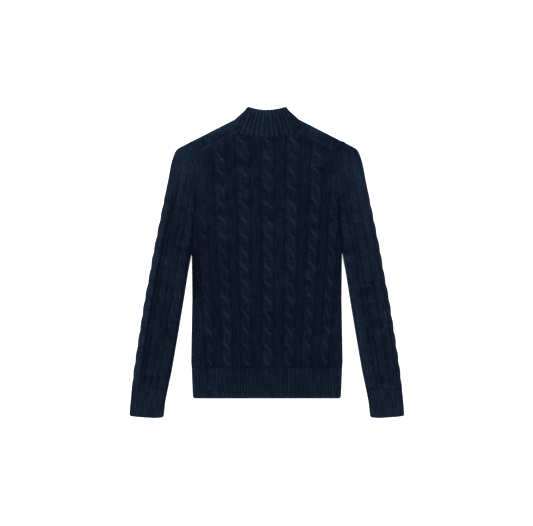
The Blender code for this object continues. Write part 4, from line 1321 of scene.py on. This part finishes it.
# %% Zip materials and tools
TEETH_FOOT, TEETH_TOP, TOOTH_PITCH = 124.0, 328.4, 2.6
SLIDER_MIDDLE = 333.5
STITCH_PITCH, STITCH_COUNT = 3.2, 65
WARP, WEFT = 0.7, 0.9
SLIDER_REACH, ROUND_END, ROUND_END_STEPS, TAB_EDGE = 20.0, 2.2, 7, 0.18
FORMS = {
    # one corner, the opposite corner, rounding of the edges and the steps in it
    "tooth": ((-0.55, 0.0, 2.55), (2.45, 1.2, 3.65), 0.25, 1),
    "head": ((-0.55, 0.15, 2.42), (0.35, 1.05, 2.6), 0.08, 1),
    "bottom_stop": ((-2.5, 0.4, 2.4), (2.5, 1.9, 3.7), 0.3, 2),
    "tape": ((2.8, 110.0, 2.85), (14.5, 340.0, 3.35), 0.1, 1),
    "slider_space": ((0.0, 328.7, 1.0), (4.3, 345.0, 5.0), 0.0, 0),
    "cord": ((2.6, TEETH_FOOT, 2.7), (3.4, TEETH_TOP, 3.5), 0.3, 2),
    "top_stop": ((5.0, 338.2, 2.6), (5.8, 339.6, 3.6), 0.2, 1),
    "stitch": ((7.2, 126.0, 0.02), (7.8, 128.2, 0.5), 0.2, 2),
    "slider": ((-4.0, -4.5, 2.1), (4.0, 4.5, 4.6), 0.55, 3),
    "flank": ((3.1, -5.5, 3.0), (5.0, 5.5, 3.8), 0.0, 0),
    "crown": ((-1.0, -2.6, 0.3), (1.0, 2.6, 2.3), 0.3, 3),
    "tunnel": ((-2.0, -1.6, 0.8), (2.0, 1.6, 2.12), 0.2, 2),
    "tab": ((-2.5, -26.0, 0.85), (2.5, 0.25, 1.7), 0.0, 0),
    "eye": ((-1.3, -3.2, 0.0), (1.3, -0.25, 4.0), 0.0, 0),
    "trim": ((-1.3, -0.6, 0.0), (1.3, 0.6, 1.2), 0.0, 0),
    "slot": ((-1.2, -22.5, 0.0), (1.2, -9.0, 1.05), 0.0, 0),
}
metal_look = material("dark_zip_metal", (0.045, 0.047, 0.05), 0.38, 0.5, 1.0)
tape_look = material("navy_tape_weave", (0.006, 0.010, 0.021), 0.75, 0.2)
thread_look = material("navy_sewing_thread", (0.009, 0.015, 0.030), 0.6, 0.3)


def weave(made):
    """Fine weave on a tape, from its place on the object in metres."""
    nodes = Nodes(made)
    split = nodes.add("ShaderNodeSeparateXYZ", nodes.object_place())
    warp, weft = [
        nodes.math("SINE", nodes.math("MULTIPLY", split.outputs[axis], 2 * math.pi / (pitch * MM)))
        for axis, pitch in enumerate((WARP, WEFT))]
    nodes.feed(nodes.bump(nodes.math("MULTIPLY", warp, weft), 0.15), nodes.shader.inputs["Normal"])


def block(form, level=0.0, side=RIGHT):
    """A box with rounded edges, from the table, at a level and on one side."""
    corner, opposite, bevel, segments = FORMS[form]
    low, high = np.sort([corner, opposite] * np.array([side, 1, 1]), 0) + (0.0, level, 0.0)
    bpy.ops.object.select_all(action="DESELECT")
    bpy.ops.mesh.primitive_cube_add(size=1.0, location=tuple((low + high) / 2.0 * MM))
    made = bpy.context.object
    made.scale = (high - low) * MM
    bpy.ops.object.transform_apply(location=True, rotation=False, scale=True)
    if bevel:
        modify(made, "BEVEL", width=bevel * MM, segments=segments)
    return made


def repeat(made, count, step):
    """The same form again and again along Y."""
    modify(made, "ARRAY", count=count, use_relative_offset=False, use_constant_offset=True,
           constant_offset_displace=(0.0, step * MM, 0.0))
    return made


def joined(name, *objects):
    """One named object of several."""
    select_only(objects[0])
    for obj in objects[1:]:
        obj.select_set(True)
    bpy.ops.object.join()
    return named(objects[0], name)


def cut(piece, cutter):
    """Take one form away from another."""
    modify(piece, "BOOLEAN", operation="DIFFERENCE", object=cutter)
    bpy.data.objects.remove(cutter)


weave(tape_look)
print(int((TEETH_TOP - TEETH_FOOT) / TOOTH_PITCH), "teeth on each tape")


# %% Teeth, tapes and stitches
def zip_chain():
    count = int((TEETH_TOP - TEETH_FOOT) / TOOTH_PITCH)
    rows = []
    for side, start in ((LEFT, TEETH_FOOT), (RIGHT, TEETH_FOOT + TOOTH_PITCH / 2)):
        tooth = joined("tooth", block("tooth", start, side), block("head", start, side))
        rows.append(repeat(tooth, count, TOOTH_PITCH))
    made = joined("zip_teeth", *rows, block("bottom_stop", ZIP_FOOT))
    return finish_piece(made, metal_look, "zip_metal", "zip_chain")


def zip_tape(word, side):
    tape = block("tape", side=side)
    cut(tape, block("slider_space", side=side))
    made = joined(f"zip_tape_{word}_weave", tape, block("cord", side=side), block("top_stop", side=side))
    return finish_piece(made, tape_look, "zip_tape", f"zip_tape_{word}")


def zip_stitches():
    """Two rows of thread that hold the edges of the opening to the tapes."""
    rows = [repeat(block("stitch", side=side), STITCH_COUNT, STITCH_PITCH) for side in (LEFT, RIGHT)]
    return finish_piece(joined("zip_stitches", *rows), thread_look, "zip_tape")


zip_chain()
tape_left, tape_right = [zip_tape(*word_and_side) for word_and_side in SIDES]
zip_stitches()


# %% Slider and pull tab
def zip_slider():
    body = block("slider", SLIDER_MIDDLE)
    for side in (LEFT, RIGHT):
        cut(body, block("flank", SLIDER_MIDDLE, side))
    crown = block("crown", SLIDER_MIDDLE)
    cut(crown, block("tunnel", SLIDER_MIDDLE))
    return finish_piece(joined("zip_slider_body", body, crown), metal_look, "zip_metal", "zip_slider")


def zip_pull():
    """A flat tab with a round end, a slot, and an eye round the slider's bridge."""
    tab = named(block("tab", SLIDER_MIDDLE), "zip_pull_tab")
    select_only(tab)
    edit_mode("EDGE")
    bpy.ops.object.mode_set(mode="OBJECT")
    for edge in tab.data.edges:
        ends = [tab.data.vertices[i].co for i in edge.vertices]
        upright = abs(ends[0].z - ends[1].z) > 0.5 * MM
        edge.select = upright and ends[0].y < (SLIDER_MIDDLE - SLIDER_REACH) * MM
    bpy.ops.object.mode_set(mode="EDIT")
    bpy.ops.mesh.bevel(offset=ROUND_END * MM, segments=ROUND_END_STEPS)
    bpy.ops.object.mode_set(mode="OBJECT")
    modify(tab, "BEVEL", width=TAB_EDGE * MM, segments=2)
    for hole in ("eye", "trim", "slot"):
        cut(tab, block(hole, SLIDER_MIDDLE))
    return finish_piece(tab, metal_look, "zip_metal", "zip_pull", body=PULL)


zip_slider()
zip_pull()
